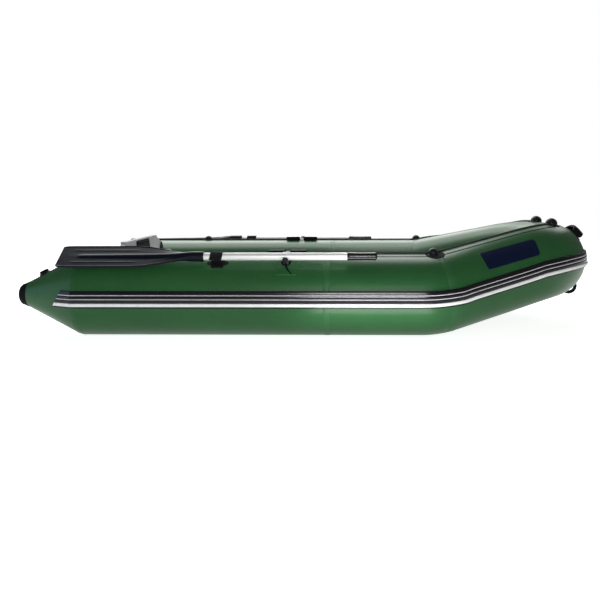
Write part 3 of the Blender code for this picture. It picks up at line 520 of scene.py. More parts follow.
def moulded_plastic(name, base, roughness, grain):
    """Moulded plastic with an eroded grain and a few scuffs."""
    finish = Finish(name, roughness)
    cloud = finish.noise(14.0, 5, 0.6)
    scuff = finish.noise(70.0, 4, 0.7, stretch=(0.25, 1, 1))
    body = finish.ramp(cloud, [(0.3, shade(base, 0.85)), (0.7, shade(base, 1.25))])
    worn = finish.ramp(scuff, [(0.0, shade(base, 1.0)), (1.0, shade(base, 1.8))])
    finish.colour(finish.mix(finish.ramp(scuff, [(0.62, (0, 0, 0)), (0.8, (0.5,) * 3)]), body, worn))
    finish.gloss(scuff, roughness - 0.07, roughness + 0.12)
    finish.bump(finish.noise(grain, 2, 0.5), grain_relief, 0.45)
    return finish.constant(Specular_IOR_Level=0.16).made


def glossy_grip():
    """Black moulded grip with a polished skin and a soft bloom where hands wear it."""
    finish = Finish("grip_plastic", 0.2)
    wear = finish.noise(30.0, 4, 0.6, stretch=(0.3, 1, 1))
    finish.colour(finish.ramp(wear, [(0.3, (0.004, 0.004, 0.005)), (0.8, (0.009, 0.009, 0.011))]))
    finish.gloss(wear, 0.14, 0.26)
    return finish.bump(finish.noise(600.0, 2, 0.5), polish_relief, 0.4).made


def anodised_tube():
    """Drawn aluminium with fine lines along it under a pale anodised skin."""
    finish = Finish("anodised_tube", 0.3, 0.25)
    lines = finish.noise(40.0, 4, 0.6, stretch=(0.15, 30, 30))
    finish.colour(finish.ramp(lines, [(0.3, (0.86, 0.87, 0.87)), (0.7, (0.94, 0.94, 0.93))]))
    finish.gloss(lines, 0.26, 0.40)
    return finish.bump(lines, drawn_relief, 0.3).made


def brushed_steel():
    finish = Finish("brushed_steel", 0.3, 1.0)
    lines = finish.noise(60.0, 4, 0.6, stretch=(0.2, 25, 25))
    finish.colour(finish.ramp(lines, [(0.3, (0.42, 0.42, 0.43)), (0.7, (0.58, 0.58, 0.57))]))
    finish.gloss(lines, 0.22, 0.4)
    return finish.bump(lines, brush_relief, 0.35).made


def plywood(name, pale, dark, along, roughness, coat):
    """Plywood with long grain on its faces; along is the direction that the grain runs."""
    finish = Finish(name, roughness)
    stretch = tuple(0.06 if k == along else 1.0 for k in range(3))
    grain = finish.noise(38.0, 8, 0.65, stretch=stretch, distortion=0.6)
    figure = finish.noise(7.0, 3, 0.5, stretch=stretch, distortion=1.5)
    fibre = finish.ramp(grain, [(0.35, dark), (0.62, pale)])
    broad = finish.ramp(figure, [(0.35, shade(dark, 1.15)), (0.65, shade(pale, 1.05))])
    finish.colour(finish.mix(0.5, fibre, broad))
    finish.gloss(grain, roughness - 0.06, roughness + 0.1)
    finish.bump(grain, wood_relief, 0.35)
    return finish.constant(Coat_Weight=coat, Coat_Roughness=0.18).made


def floor_fabric():
    """Woven floor cover: crossing yarns under a matt film."""
    finish = Finish("floor_fabric", 0.62)
    yarns = finish.math("MULTIPLY", finish.wave(95.0, "X"), finish.wave(95.0, "Y"))
    cloud = finish.noise(6.0, 5, 0.6)
    worn = finish.ramp(cloud, [(0.2, (0.3,) * 3), (0.8, (0.7,) * 3)])
    dark = finish.ramp(yarns, [(0.1, (0.030, 0.033, 0.036)), (0.8, (0.075, 0.080, 0.085))])
    pale = finish.ramp(yarns, [(0.1, (0.038, 0.040, 0.043)), (0.8, (0.095, 0.100, 0.104))])
    finish.colour(finish.mix(worn, dark, pale))
    finish.gloss(cloud, 0.52, 0.72)
    return finish.bump(yarns, weave_relief, 0.5).made


def stitching():
    finish = Finish("stitching", 0.7)
    lay = finish.wave(900.0, "DIAGONAL")
    finish.colour(finish.ramp(lay, [(0.2, (0.10, 0.10, 0.11)), (0.8, (0.22, 0.22, 0.23))]))
    return finish.bump(lay, lay_relief, 0.6).made


# All the finishes of this boat, by the pieces that wear them.
green = (0.024, 0.108, 0.033)
finishes = {
    "tube": coated_fabric("tube_fabric", green, 0.25, 0.34, 0.0),
    "seam": moulded_rubber("seam_line", (0.004, 0.009, 0.006), 0.5, 0.7),
    "tape": coated_fabric("seam_tape", shade(green, 1.06), 0.34, 0.46, 0.05),
    "patch": moulded_rubber("patch_rubber", (0.008, 0.013, 0.011), 0.6, 0.8),
    "plate": coated_fabric("name_plate_fabric", (0.002, 0.007, 0.034), 0.3, 0.42, 0.0),
    "bottom": coated_fabric("bottom_fabric", (0.018, 0.045, 0.024), 0.42, 0.58, 0.1),
    "strake": strake_rubber(),
    "bead": pale_rubber("white_bead", (0.80, 0.82, 0.81), (0.93, 0.94, 0.94)),
    # Painted highlight: pale lines in the strake's valleys standing for the light caught along the rib edges.
    "painted_highlight": pale_rubber("strake_painted_highlight", (0.62, 0.60, 0.66), (0.80, 0.78, 0.84)),
    "rubber": moulded_rubber("moulded_rubber", (0.007, 0.007, 0.008), 0.5, 0.7),
    "rope": twisted_rope(),
    "plastic": moulded_plastic("fitting_plastic", (0.012, 0.013, 0.016), 0.33, 1300.0),
    "blade": moulded_plastic("blade_plastic", (0.003, 0.006, 0.012), 0.34, 1000.0),
    "grip": glossy_grip(),
    "shaft": anodised_tube(),
    "steel": brushed_steel(),
    "transom": plywood("painted_plywood", (0.46, 0.455, 0.475), (0.38, 0.375, 0.39), 1, 0.4, 0.1),
    "bench": plywood("varnished_plywood", (0.42, 0.29, 0.16), (0.27, 0.165, 0.08), 1, 0.34, 0.5),
    "floor": floor_fabric(),
    "stitch": stitching(),
}


# How the node trees are built up: their nodes, and the routes between sockets.
copy_nodes = {
    "given": "NodeGroupInput", "line": "GeometryNodeMeshLine", "copies": "GeometryNodeInstanceOnPoints",
    "real": "GeometryNodeRealizeInstances", "paint": "GeometryNodeSetMaterial", "out": "NodeGroupOutput",
}
turn_nodes = {
    "index": "GeometryNodeInputIndex", "share": "ShaderNodeMath", "angle": "ShaderNodeMath",
    "turn": "FunctionNodeAxisAngleToRotation", "move": "GeometryNodeTransform",
}
copy_routes = (
    ("given", "Count", "line", "Count"), ("line", "Mesh", "copies", "Points"),
    ("given", "Geometry", "copies", "Instance"), ("copies", "Instances", "real", "Geometry"),
    ("given", "Finish", "paint", "Material"), ("paint", "Geometry", "out", "Geometry"),
)
row_routes = (("given", "Step", "line", "Offset"), ("real", "Geometry", "paint", "Geometry"))
ring_routes = (
    ("index", "Index", "share", 0), ("given", "Count", "share", 1), ("share", "Value", "angle", 0),
    ("given", "Axis", "turn", "Axis"), ("angle", "Value", "turn", "Angle"),
    ("turn", "Rotation", "copies", "Rotation"),
    ("given", "Middle", "move", "Translation"), ("real", "Geometry", "move", "Geometry"),
    ("move", "Geometry", "paint", "Geometry"),
)


def copies_tree(name, vectors, routes, **more_nodes):
    """A node tree that copies a piece onto points, with named inputs for count, directions and finish."""
    tree = bpy.data.node_groups.new(name, "GeometryNodeTree")
    sockets = [("Geometry", "Geometry"), ("Count", "Int"), *((label, "Vector") for label in vectors)]
    for label, kind in sockets + [("Finish", "Material")]:
        tree.interface.new_socket(label, in_out="INPUT", socket_type="NodeSocket" + kind)
    tree.interface.new_socket("Geometry", in_out="OUTPUT", socket_type="NodeSocketGeometry")
    nodes = {label: tree.nodes.new(kind) for label, kind in {**copy_nodes, **more_nodes}.items()}
    for source, output, target, socket in copy_routes + routes:
        tree.links.new(nodes[source].outputs[output], nodes[target].inputs[socket])
    return tree, nodes


def row_tree(name):
    """Copies in a row, a step apart."""
    return copies_tree(name, ["Step"], row_routes)[0]


def ring_tree(name):
    """Copies round an axis through the middle."""
    tree, nodes = copies_tree(name, ["Axis", "Middle"], ring_routes, **turn_nodes)
    nodes["share"].operation = "DIVIDE"
    nodes["angle"].operation = "MULTIPLY"
    nodes["angle"].inputs[1].default_value = 2 * math.pi
    nodes["line"].inputs["Offset"].default_value = (0, 0, 0)
    return tree


def grown(made, tree, finish, **values):
    """Runs a node tree on a piece and keeps the plain mesh that it makes."""
    step = made.modifiers.new("grow", "NODES")
    step.node_group = tree
    values["finish"] = finishes[finish]
    for socket in tree.interface.items_tree:
        if socket.in_out == "INPUT" and socket.name.lower() in values:
            step[socket.identifier] = values[socket.name.lower()]
    return settled(made, step)


# Tubes, their seams and everything glued along them.
cone_round_shares = (0.0, 0.35, 0.7)
crease_length = 0.014
pucker_depth = 0.0011
pucker_reach = 0.045
pucker_scale = (0.16, 9, 6)
bow_lap_at = 1.672
seam_stations = (0, stern_panel_length, bow_lap_at, nose_end)
tape_half_width = 0.014
tape_proud = 0.0007
tape_sunk = 0.0004
crest_line_low = 71.2
crest_tape_low = 72.6
crest_tape_high = 92.0
crest_run = (-cone_length * 0.9, nose_end - tape_half_width)
crest_line_proud = tape_proud * 1.3
rib_round = 0.0020
rib_round_steps = 3
rib_valley = 0.0052
rib_edges = ((0.0360, 0.0195), (0.0160, 0.0020), (-0.0015, -0.0162))
lip_edges = (-0.0322, -0.0392)
lip_proud = 0.0072
joint_gap = 0.0012
strake_edge = 0.0008
strip_end_top = 0.052
strip_end_bottom = 0.104
strip_lap = 0.004
seat_shares = (-0.9, -0.45, 0, 0.45, 0.9)
bow_climbs = ((1.5, bend_start, bow_lap_at + 0.1), (3.0, 2.0, nose_end - 0.05))
# Pale lines in the strake's valleys: a painted highlight of the rib edges.
highlight_line_width = 0.0030
highlight_line_sunk = 0.001
highlight_line_top = 0.0094
bead_steps = 14
bead_squareness = 0.55
bead_shoulder = 0.0072


def skin_radius(s, angle):
    """The inflated skin: creases eased over the seams, with fine puckers beside them."""
    radius = radius_at(s)
    if abs(s) < crease_length:
        radius = tube_radius - cone_slope * (crease_length - s) ** 2 / (4 * crease_length)
    for seam in seam_stations:
        near = max(0, 1 - abs(s - seam) / pucker_reach)
        if near > 0:
            wave = noise.noise(Vector(k * step for k, step in zip((angle, seam, s), pucker_scale)))
            radius -= pucker_depth * near * near * (0.5 + wave)
    return radius


def make_skin(side, name):
    """One side's tube from the cone's end to the nose, glued from three panels."""
    angles = [360 * k / tube_sides for k in range(tube_sides)]
    rings = []
    end = -cone_length
    centre, forward, _, _ = tube_frame(end)
    rim = [around_tube(end, angle, cone_end_radius) for angle in angles]
    for turn_share in cone_round_shares:
        turn = math.pi / 2 * turn_share
        inset = cone_end_round * (1 - math.sin(turn))
        back = cone_end_round * math.cos(turn)
        rings.append([centre - forward * back + (p - centre) * (1 - inset / cone_end_radius) for p in rim])
    for s in stations(end, nose_end - slide_gap / 2, spacing=skin_ring_spacing):
        rings.append([around_tube(s, angle, skin_radius(s, angle)) for angle in angles])
    nodes = [f"{name}_{panel}_tube" for panel in ("stern", "mid", "bow")]
    dressed(as_object(loft(rings), f"{name}_hull_tube", side), "tube", *nodes, smooth=50)


def girdle(middle, half_width):
    """A tape round the tube at a station."""
    edge = tape_proud / 2
    inner = half_width - tape_proud
    profile = [(-half_width, -tape_sunk), (-half_width, edge), (-inner, tape_proud),
               (inner, tape_proud), (half_width, edge), (half_width, -tape_sunk)]
    rings = []
    for k in range(tube_sides):
        angle = 360 * k / tube_sides
        rings.append([around_tube(middle + along, angle, skin_radius(middle + along, angle) + above)
                      for along, above in profile])
    return skinned(rings, joined=True)


def ribbon(start, stop, low, high, proud=tape_proud, columns=6):
    """A tape that runs along the tube between two angles."""
    rings = []
    for s in stations(start, stop):
        edge = (high - low) * 0.02
        upper = [low + edge + (high - low - 2 * edge) * k / columns for k in range(columns + 1)]
        ring = [on_tube(s, low, -tape_sunk), on_tube(s, low, proud / 2)]
        ring += [on_tube(s, angle, proud) for angle in upper]
        ring += [on_tube(s, high, proud / 2), on_tube(s, high, -tape_sunk)]
        rings.append(ring)
    return loft(rings)


def make_tapes(side, name):
    """Seam tapes round the tube at each panel's end, and one along the crest."""
    tapes = as_object(girdle(0, tape_half_width), f"{name}_seam_tapes", side)
    half_nose = tape_half_width / 2
    rest = [girdle(stern_panel_length, tape_half_width), girdle(bow_lap_at, tape_half_width),
            ribbon(*crest_run, crest_tape_low, crest_tape_high),
            girdle(nose_end - half_nose, half_nose - slide_gap)]
    merged(tapes, *[as_object(mesh, "tape", side) for mesh in rest])
    dressed(tapes, "tape", slot="tube_fabric", smooth=35)
    line = ribbon(*crest_run, crest_line_low, crest_tape_low, crest_line_proud, 2)
    dressed(as_object(line, f"{name}_crest_seam", side), "seam", slot="tube_fabric", smooth=35)


def rounded_rib(high, low, top, floor):
    """One rib of the strake, with rounded shoulders."""
    quarter = math.pi / 2
    points = [(high, floor)]
    for middle, start in ((high - rib_round, 0), (low + rib_round, quarter)):
        points += arc(middle, top - rib_round, rib_round, rib_round, start, start + quarter, rib_round_steps)
    return points + [(low, floor)]


def strake_face():
    """The ribbed rubber, top to bottom, with an open channel for the bead."""
    points = [(strake_top, strake_edge)]
    for high, low in rib_edges:
        points += rounded_rib(high, low, strake_proud, rib_valley)
    channel_low = -bead_top - bead_width
    points += [(-bead_top, bead_floor), (channel_low, bead_floor)]
    points += rounded_rib(lip_edges[0], lip_edges[1], lip_proud, rib_valley)[1:-1]
    points.append((-strake_bottom, strake_edge))
    return points


def bead_face():
    centre = -bead_top - bead_width / 2
    half = bead_width / 2 - seat_gap
    floor = bead_floor + seat_gap
    points = [(centre + half, floor)]
    for k in range(bead_steps + 1):
        turn = math.pi * k / bead_steps
        across = math.copysign(abs(math.cos(turn)) ** bead_squareness, math.cos(turn))
        rise_share = math.sin(turn) ** bead_squareness
        points.append((centre + half * across, bead_shoulder + (bead_proud - bead_shoulder) * rise_share))
    return points + [(centre - half, floor)]


def bow_lift(s):
    """How many degrees the strips climb round the tube on their way to the nose."""
    return sum(climb * ease(s, start, stop) for climb, start, stop in bow_climbs)


def highlight_line_face(middle):
    """A pale line in a valley between two ribs, painted in as the highlight that the rib edges catch."""
    half = highlight_line_width / 2
    floor = rib_valley - highlight_line_sunk
    round_off = highlight_line_width / 5
    return [(middle + half, floor), (middle + half, highlight_line_top - round_off),
            (middle + half - round_off, highlight_line_top), (middle - half + round_off, highlight_line_top),
            (middle - half, highlight_line_top - round_off), (middle - half, floor)]


def along_strake(outline, start, stop, seated):
    """A strip of the strake's section along the tube; its stern end is cut on a slant."""
    lean = (strip_end_bottom - strip_end_top) / (strake_top + strake_bottom)

    def place(s, across):
        """The slanted end straightens out between the end and the cone's foot."""
        cut_end = -strip_end_top - (strake_top - across) * lean
        return s if s > 0 else cut_end * s / -strip_end_bottom

    def skin_point(s, across, height):
        at = place(s, across)
        return on_tube(at, math.degrees(across / radius_at(at)) + bow_lift(s), height)

    section = [(across, seat_gap + height) for across, height in outline]
    if seated:
        section += [(strake_top * share, -tape_sunk) for share in seat_shares]
    places = stations(start, stop)
    return loft([[skin_point(s, across, height) for across, height in section] for s in places])


def make_strake(side, name):
    """Three lengths of ribbed strake with thin joints, one white bead in their channel, and two pale lines
    painted in as the ribs' highlights.
    """
    first = -strip_end_bottom
    last = nose_end - slide_gap / 2
    marks = [first, stern_panel_length - strip_lap, bow_lap_at, last]
    lengths = []
    for near, far in zip(marks, marks[1:]):
        start = near if near == first else near + joint_gap / 2
        stop = far if far == last else far - joint_gap / 2
        strip = along_strake(strake_face(), start, stop, True)
        lengths.append(as_object(strip, f"{name}_rubbing_strake", side))
    dressed(merged(*lengths), "strake", f"{name}_strake")
    bead = as_object(along_strake(bead_face(), first, last, False), f"{name}_white_bead", side)
    dressed(bead, "bead", f"{name}_strake_bead", smooth=50)
    # Two pale lines in the valleys between the ribs, painted in as the highlights that the rib edges catch.
    valleys = [(low + high) / 2 for (_, low), (high, _) in zip(rib_edges, rib_edges[1:])]
    lines = [as_object(along_strake(highlight_line_face(middle), first, last, False), f"{name}_strake_painted_highlight", side)
             for middle in valleys]
    dressed(merged(*lines), "painted_highlight", slot="white_bead", smooth=50)


# The cone caps' skirt, and their rolled rim as shares of the wall and steps along the axis.
cap_skirt = 0.011
cap_rim = ((0.25, 0), (0.4, 0.0008), (0.4, 0.0030), (0.1, 0.0046))
cap_steps = 13


def make_cone_cap(side, name):
    """A moulded cup with a rolled rim over the cone's end."""
    foot, forward, outboard, _ = tube_frame(0)
    rim = cone_length - cap_cover - cap_skirt
    rim_radius = radius_at(-rim)
    shoulder = radius_at(-cone_length) + cap_wall
    inside = cone_length + cone_end_round + seat_gap
    profile = [(0, inside), (cone_end_radius - cone_end_round, inside),
               (cone_end_radius + seat_gap, cone_length), (rim_radius - tape_sunk, rim)]
    profile += [(rim_radius + cap_wall * share, rim + along) for share, along in cap_rim]
    profile += arc(0, cone_length, shoulder, cap_tip, 0, math.pi / 2, cap_steps)[:-1]
    profile.append((0, cone_length + cap_tip))
    cap = as_object(lathe(profile, foot, -forward, outboard, 96), f"{name}_cone_end_cap", side)
    dressed(cap, "rubber", f"{name}_cone_cap")


# The grab lines.
rope_angle = 86.0
port_rope_angle = 74.0
strand_count = 3
strand_radius = 0.00245
strand_lay = 0.034
strand_sides = 8
rope_ring_spacing = 0.0034
slip_start = (forward_fitting_at + 0.05, forward_fitting_at + 0.16)
slip_stop = (nose_end - bow_fitting_before_nose - 0.16, nose_end - bow_fitting_before_nose - 0.05)


def rope_lean(s, side):
    """The rope lies on the crest; on the port bow it has slipped outboard of it."""
    slipped = ease(s, *slip_start) * (1 - ease(s, *slip_stop))
    return rope_angle if side > 0 else rope_angle + (port_rope_angle - rope_angle) * slipped


def make_rope(side, name):
    """A three-strand line, its strands wound round its route along the crest."""
    start = aft_fitting_at - rope_end_depth
    stop = nose_end - bow_fitting_before_nose + rope_end_depth
    strands = []
    for strand in range(strand_count):
        rings = []
        lays = evenly(start, stop, rope_ring_spacing)
        for s in lays:
            lean = rope_lean(s, side)
            forward, out, _ = tube_axes(s, lean)
            across = forward.cross(out)
            middle = on_tube(s, lean, seat_gap + rope_radius)
            wind = 2 * math.pi * (s / strand_lay + strand / strand_count)
            spread = rope_radius - strand_radius
            heart = middle + spread * (math.cos(wind) * across + math.sin(wind) * out)
            turns = [wind + turn for turn in round_turns(strand_sides)]
            rings.append([heart + strand_radius * (math.cos(t) * across + math.sin(t) * out) for t in turns])
        strands.append(as_object(with_lengthwise_map(loft(rings), lays, strand_sides), f"{name}_rope", side))
    rope = merged(*strands)
    dressed(rope, "rope", f"{name}_grab_line", smooth=60)


def with_lengthwise_map(mesh, lengths, sides):
    """A UV map whose V runs along a strand and whose U runs round it."""
    layer = mesh.loops.layers.uv.new("UVMap")
    mesh.verts.ensure_lookup_table()
    mesh.verts.index_update()
    for face in mesh.faces:
        for corner in face.loops:
            row, column = divmod(corner.vert.index, sides)
            corner[layer].uv = (column / sides, lengths[row])
    return mesh


# The inside: sheet, slats, board, holders, pads, drain, rails and benches.
transom_rake = 6.0
transom_thickness = 0.025
transom_top = 2 * tube_radius + 0.045
transom_horn = 0.005
transom_shoulder_angle = 70.0
holder_wall = 0.004
holder_flange = 0.006
holder_depth = 0.032
holder_top_angle = 60.0
holder_lift = 0.005
pad_width = 0.250
pad_height = 0.240
pad_thickness = 0.006
pad_below_top = 0.008
pad_corner = 0.012
pad_ribs = 12
drain_height = 0.078
drain_bore = 0.012
drain_barrel = 0.0165
drain_flange = 0.026
drain_flange_thickness = 0.004
drain_nut_radius = 0.024
drain_nut_thickness = 0.006
plug_head_radius = 0.0155
plug_head_thickness = 0.006
plug_length = 0.022
bench_underside = tube_radius + 0.098
bench_thickness = 0.012
bench_depth = 0.220
bench_corner = 0.018
rear_bench_at = 0.540
front_bench_at = 1.160
rail_start = 0.300
rail_end = 1.500
rail_lip_reach = 0.028
rail_lip = 0.007
rail_web = 0.004
rail_foot = 0.012
sheet_sag = 0.0045
sheet_columns = 48
sheet_ring_spacing = 0.02
margin_bands = ((-9.0, -0.5), (1.2, 15.0))
slat_swell = 0.0012
slat_edge = 0.0035
slat_columns = 64
slat_rows = 14
web_top = 0.0032
web_bottom = 0.0002
web_spacing = 0.003
web_share = 0.998
stitch_step = 0.0075
stitch_inset = 0.004
stitch_share = 0.62
stitch_rise = 0.00055
stitch_ring_shares = (0.0, 0.18, 0.5, 0.82, 1.0)
stitch_ends_radius = 0.00028
stitch_middle_radius = 0.00058
stitch_above_slats = 0.0031
stitch_side_margin = 0.008
transom_corner = 0.012
transom_edge = 0.0028
transom_half = transom_thickness / 2 / math.cos(math.radians(transom_rake))
holder_lip = 0.0022
cutter_reach = 0.03
rib_half_width = 0.0026
rib_height = 0.0015
rib_sunk = 0.001
rib_end_margin = 0.014
pad_edge = 0.0012
nut_edge = 0.0007
bench_edge = 0.0032
rail_edge = 0.0009
rail_ring_spacing = 0.1
grip_rib_sunk = 0.0008
plug_ribs = 28
plug_rib_proud = 0.0008
plug_rib_stop = 0.0022
grip_rib_start = 0.0006
# Small steps of the drain's turned edges: across and along.
flange_rim = ((0, -0.0018), (-0.0006, -0.0005), (-0.002, 0))
barrel_bevel = 0.0008
nut_bevel = 0.002
nut_face_step = 0.0006
plug_rim = ((0, -0.002), (-0.0007, -0.0006), (-0.0022, 0), (-0.005, -0.0008))
plug_dish = 0.0010
plug_nose = (0.0012, 0.0015)


def sheet_top():
    return on_tube(transom_at, 180 + sheet_angle, seat_gap).z


def tube_side_at(height, reach):
    """How far from the middle a side tube's inner face lies at a height."""
    return half_track - math.sqrt(reach ** 2 - (height - tube_radius) ** 2)


ripple_along = 3.1
ripple_across = 2.3
ripple_slice = 0.4
ripple_share = 0.45


def make_bottom_sheet():
    """The sheet under both tubes, a little slack, with glued margins along the tubes."""
    upper = 180 + sheet_angle
    rings = []
    for s in stations(transom_at - sheet_behind_transom, nose_end - slide_gap, spacing=sheet_ring_spacing):
        lower = upper + math.degrees(sheet_thickness / radius_at(s) / math.cos(math.radians(sheet_angle)))
        edge = on_tube(s, upper, seat_gap)
        under = on_tube(s, lower, seat_gap)
        top = []
        bottom = []
        for k in range(sheet_columns + 1):
            across = math.cos(math.pi * k / sheet_columns)
            belly = (1 - across ** 2) * min(1, abs(edge.y) / tube_radius)
            ripple = noise.noise(Vector((s * ripple_along, across * ripple_across, ripple_slice)))
            drop = sheet_sag * belly * (1 - ripple_share + ripple_share * ripple)
            top.append(Vector((edge.x, edge.y * across, edge.z - drop)))
            bottom.append(Vector((under.x, under.y * across, under.z - drop)))
        rings.append(top + bottom[::-1])
    sheet = as_object(loft(rings), "floor_sheet")
    dressed(sheet, "bottom", "bottom_sheet", smooth=50)
    margins = []
    run = (transom_at - sheet_behind_transom, nose_end - tape_half_width)
    for side in (1, -1):
        for low, high in margin_bands:
            margins.append(as_object(ribbon(*run, upper + low, upper + high), "sheet_margins", side))
    dressed(merged(*margins), "tape", slot="bottom_fabric", smooth=35)


def slab(length, width, thickness, swell, edge):
    """A slat in its fabric pocket: a board with soft edges and a slightly swollen face."""
    rings = []
    for x in evenly(0, length, length / slat_rows):
        from_edge = min(x, length - x)
        rise_here = swell * math.sin(math.pi * x / length)
        side_drop = edge * (1 - math.sqrt(max(0, 1 - max(0, 1 - from_edge / edge) ** 2)))
        top = []
        bottom = []
        for k in range(slat_columns + 1):
            y = width * math.cos(math.pi * k / slat_columns)
            end = max(0, 1 - (width - abs(y)) / edge)
            drop = max(side_drop, edge * (1 - math.sqrt(max(0, 1 - end ** 2))))
            top.append(Vector((x, y, thickness + rise_here - min(drop, thickness * 0.7))))
            bottom.append(Vector((x, y, 0)))
        rings.append(top + bottom[::-1])
    return loft(rings)


def make_slat_floor():
    """Slats in a row on their web, with a line of stitches along both sides of each."""
    base = sheet_top() + seat_gap
    width = tube_side_at(base + slat_thickness, tube_radius) - floor_side_gap
    pitch = slat_width + slat_space
    start = Vector((floor_start + centre_shift, 0, base))
    row = row_tree("slat_row")
    pockets = as_object(slab(slat_width, width, slat_thickness, slat_swell, slat_edge), "slat_pockets")
    grown(pockets, row, "floor", count=slat_count, step=(pitch, 0, 0))
    pockets.data.transform(Matrix.Translation(start))
    whole = slat_count * pitch - slat_space
    web_section = []
    for x in evenly(0, whole, web_spacing):
        gap_share = (x % pitch - slat_width) / slat_space
        dip = slat_swell * math.sin(math.pi * gap_share) if gap_share > 0 else 0
        web_section.append((x, web_top - dip))
    outline = web_section + [(whole, web_bottom), (0, web_bottom)]
    reach = width * web_share
    merged(pockets, as_object(prism(outline, start, bow_axis, up_axis, port_axis, -reach, reach), "web"))
    dressed(pockets, "floor", "slat_floor", smooth=50)
    make_stitches(start, width, row)


def make_stitches(start, width, row):
    """Thread stitches: one is modelled, a row is grown from it, and the rows are grown in turn."""
    long = stitch_step * stitch_share
    pitch = slat_width + slat_space
    rings = []
    for share in stitch_ring_shares:
        swell = math.sin(math.pi * share)
        lift = stitch_rise * swell
        thick = stitch_ends_radius + (stitch_middle_radius - stitch_ends_radius) * swell
        rings.append([Vector((thick * math.cos(t), long * share, lift + thick * math.sin(t)))
                      for t in round_turns(6)])
    thread = as_object(loft(rings), "floor_stitches")
    count = int((2 * width - 4 * stitch_inset) / stitch_step)
    across = slat_space - 2 * stitch_inset
    grown(thread, row, "stitch", count=count, step=(0, stitch_step, 0))
    grown(thread, row_tree("stitch_pair"), "stitch", count=2, step=(across, 0, 0))
    grown(thread, row_tree("stitch_lines"), "stitch", count=slat_count - 1, step=(pitch, 0, 0))
    place = Vector((slat_width + stitch_inset, -width + stitch_side_margin, stitch_above_slats))
    thread.data.transform(Matrix.Translation(start + place))
    dressed(thread, "stitch", slot="floor_fabric", smooth=60)


def transom_x(height):
    """Middle of the raked board at a height."""
    return transom_at + centre_shift - height * math.tan(math.radians(transom_rake))


def board_axes():
    """Upward along the raked board, and aft out of its face."""
    rake = math.radians(transom_rake)
    return Vector((-math.sin(rake), 0, math.cos(rake))), Vector((-math.cos(rake), 0, -math.sin(rake)))


def bore_for_drain(piece):
    """Cuts the hole that the drain's barrel runs through."""
    foot = Vector((transom_x(drain_height), 0, drain_height))
    radius = drain_barrel + slide_gap
    plug = [(0, -cutter_reach), (radius, -cutter_reach), (radius, cutter_reach), (0, cutter_reach)]
    cut(piece, lathe(plug, foot, board_axes()[1], port_axis, 64))


def make_transom():
    """The engine board, its round sides between the tubes and all its edges eased."""
    reach = tube_radius + seat_gap + holder_wall + seat_gap
    bottom = sheet_top() + seat_gap
    low = 180 + math.degrees(math.asin((tube_radius - bottom) / reach))
    outline = []
    for angle in evenly(low, 180 - transom_shoulder_angle, 2.0):
        turn = math.radians(angle)
        outline.append((-half_track - reach * math.cos(turn), tube_radius + reach * math.sin(turn)))
    horn = half_track - tube_radius + transom_horn - transom_corner
    corner = transom_corner
    outline += arc(-horn, transom_top - corner, corner, corner, math.pi, math.pi / 2, 6)
    outline += [(-y, z) for y, z in reversed(outline)]
    sides = (-transom_half, transom_half)
    rings = [[Vector((transom_x(z) + depth, y, z)) for y, z in outline] for depth in sides]
    board = as_object(loft(rings), "engine_board")
    softened(board, transom_edge, 3)
    bore_for_drain(board)
    dressed(board, "transom", "transom_board", smooth=35)


def make_holder(side, name):
    """A rubber channel round the board's edge, its lips rounded."""
    inner = tube_radius + seat_gap
    wall = inner + holder_wall
    seat = transom_half + seat_gap
    outer = transom_half + seat_gap + holder_flange
    deep = inner + holder_depth
    lip = holder_lip
    aft_half = [(inner, -outer), (deep - lip, -outer), (deep - lip * 0.3, -outer + lip * 0.3),
                (deep, -outer + lip), (deep, -seat), (wall, -seat)]
    section = aft_half + [(reach, -depth) for reach, depth in reversed(aft_half)]
    base = sheet_top() + holder_lift
    foot_angle = 180 + math.degrees(math.asin((tube_radius - base) / inner)) + 4
    rings = []
    for angle in evenly(180 - holder_top_angle, foot_angle, 2.0):
        turn = math.radians(angle)
        ring = []
        for reach, depth in section:
            z = tube_radius + reach * math.sin(turn)
            ring.append(Vector((transom_x(z) + depth, -half_track - reach * math.cos(turn), z)))
        rings.append(ring)
    holder = as_object(loft(rings), f"{name}_board_channel", side)
    reach = holder_depth
    floor = [(-reach, 0), (reach, 0), (reach, -tube_radius), (-reach, -tube_radius)]
    foot = Vector((transom_x(0), 0, base))
    cut(holder, prism(floor, foot, bow_axis, up_axis, port_axis, -half_track, half_track))
    dressed(holder, "rubber", f"{name}_transom_holder")


def make_motor_pads():
    """Clamp pads on both faces of the board, with a row of grip ribs."""
    upward, aft = board_axes()
    middle = transom_top - pad_below_top - pad_height / 2
    foot = Vector((transom_x(middle), 0, middle))
    half_height = pad_height / 2
    outline = rounded_rectangle(pad_width / 2, half_height, pad_corner, 8)
    ribs = row_tree("pad_ribs")
    pitch = (pad_height - 2 * pad_corner) / (pad_ribs - 1)
    reach = pad_width / 2 - rib_end_margin
    near = transom_thickness / 2 + slide_gap
    plate = near + pad_thickness - rib_height
    section = arc(0, 0, rib_half_width, rib_height, 0, math.pi, 6)
    section += [(-rib_half_width, -rib_sunk), (rib_half_width, -rib_sunk)]
    for node, face, way in (("outer_motor_pad", aft, "outer"), ("inner_motor_pad", -aft, "inner")):
        pad = as_object(prism(outline, foot, port_axis, upward, face, near, plate), f"{way}_clamp_pad")
        softened(pad, pad_edge, 3)
        start = foot - upward * (half_height - pad_corner) + face * plate
        rib = as_object(prism(section, start, upward, face, port_axis, -reach, reach), "rib")
        grown(rib, ribs, "rubber", count=pad_ribs, step=tuple(upward * pitch))
        merged(pad, rib)
        dressed(pad, "rubber", node, smooth=50)


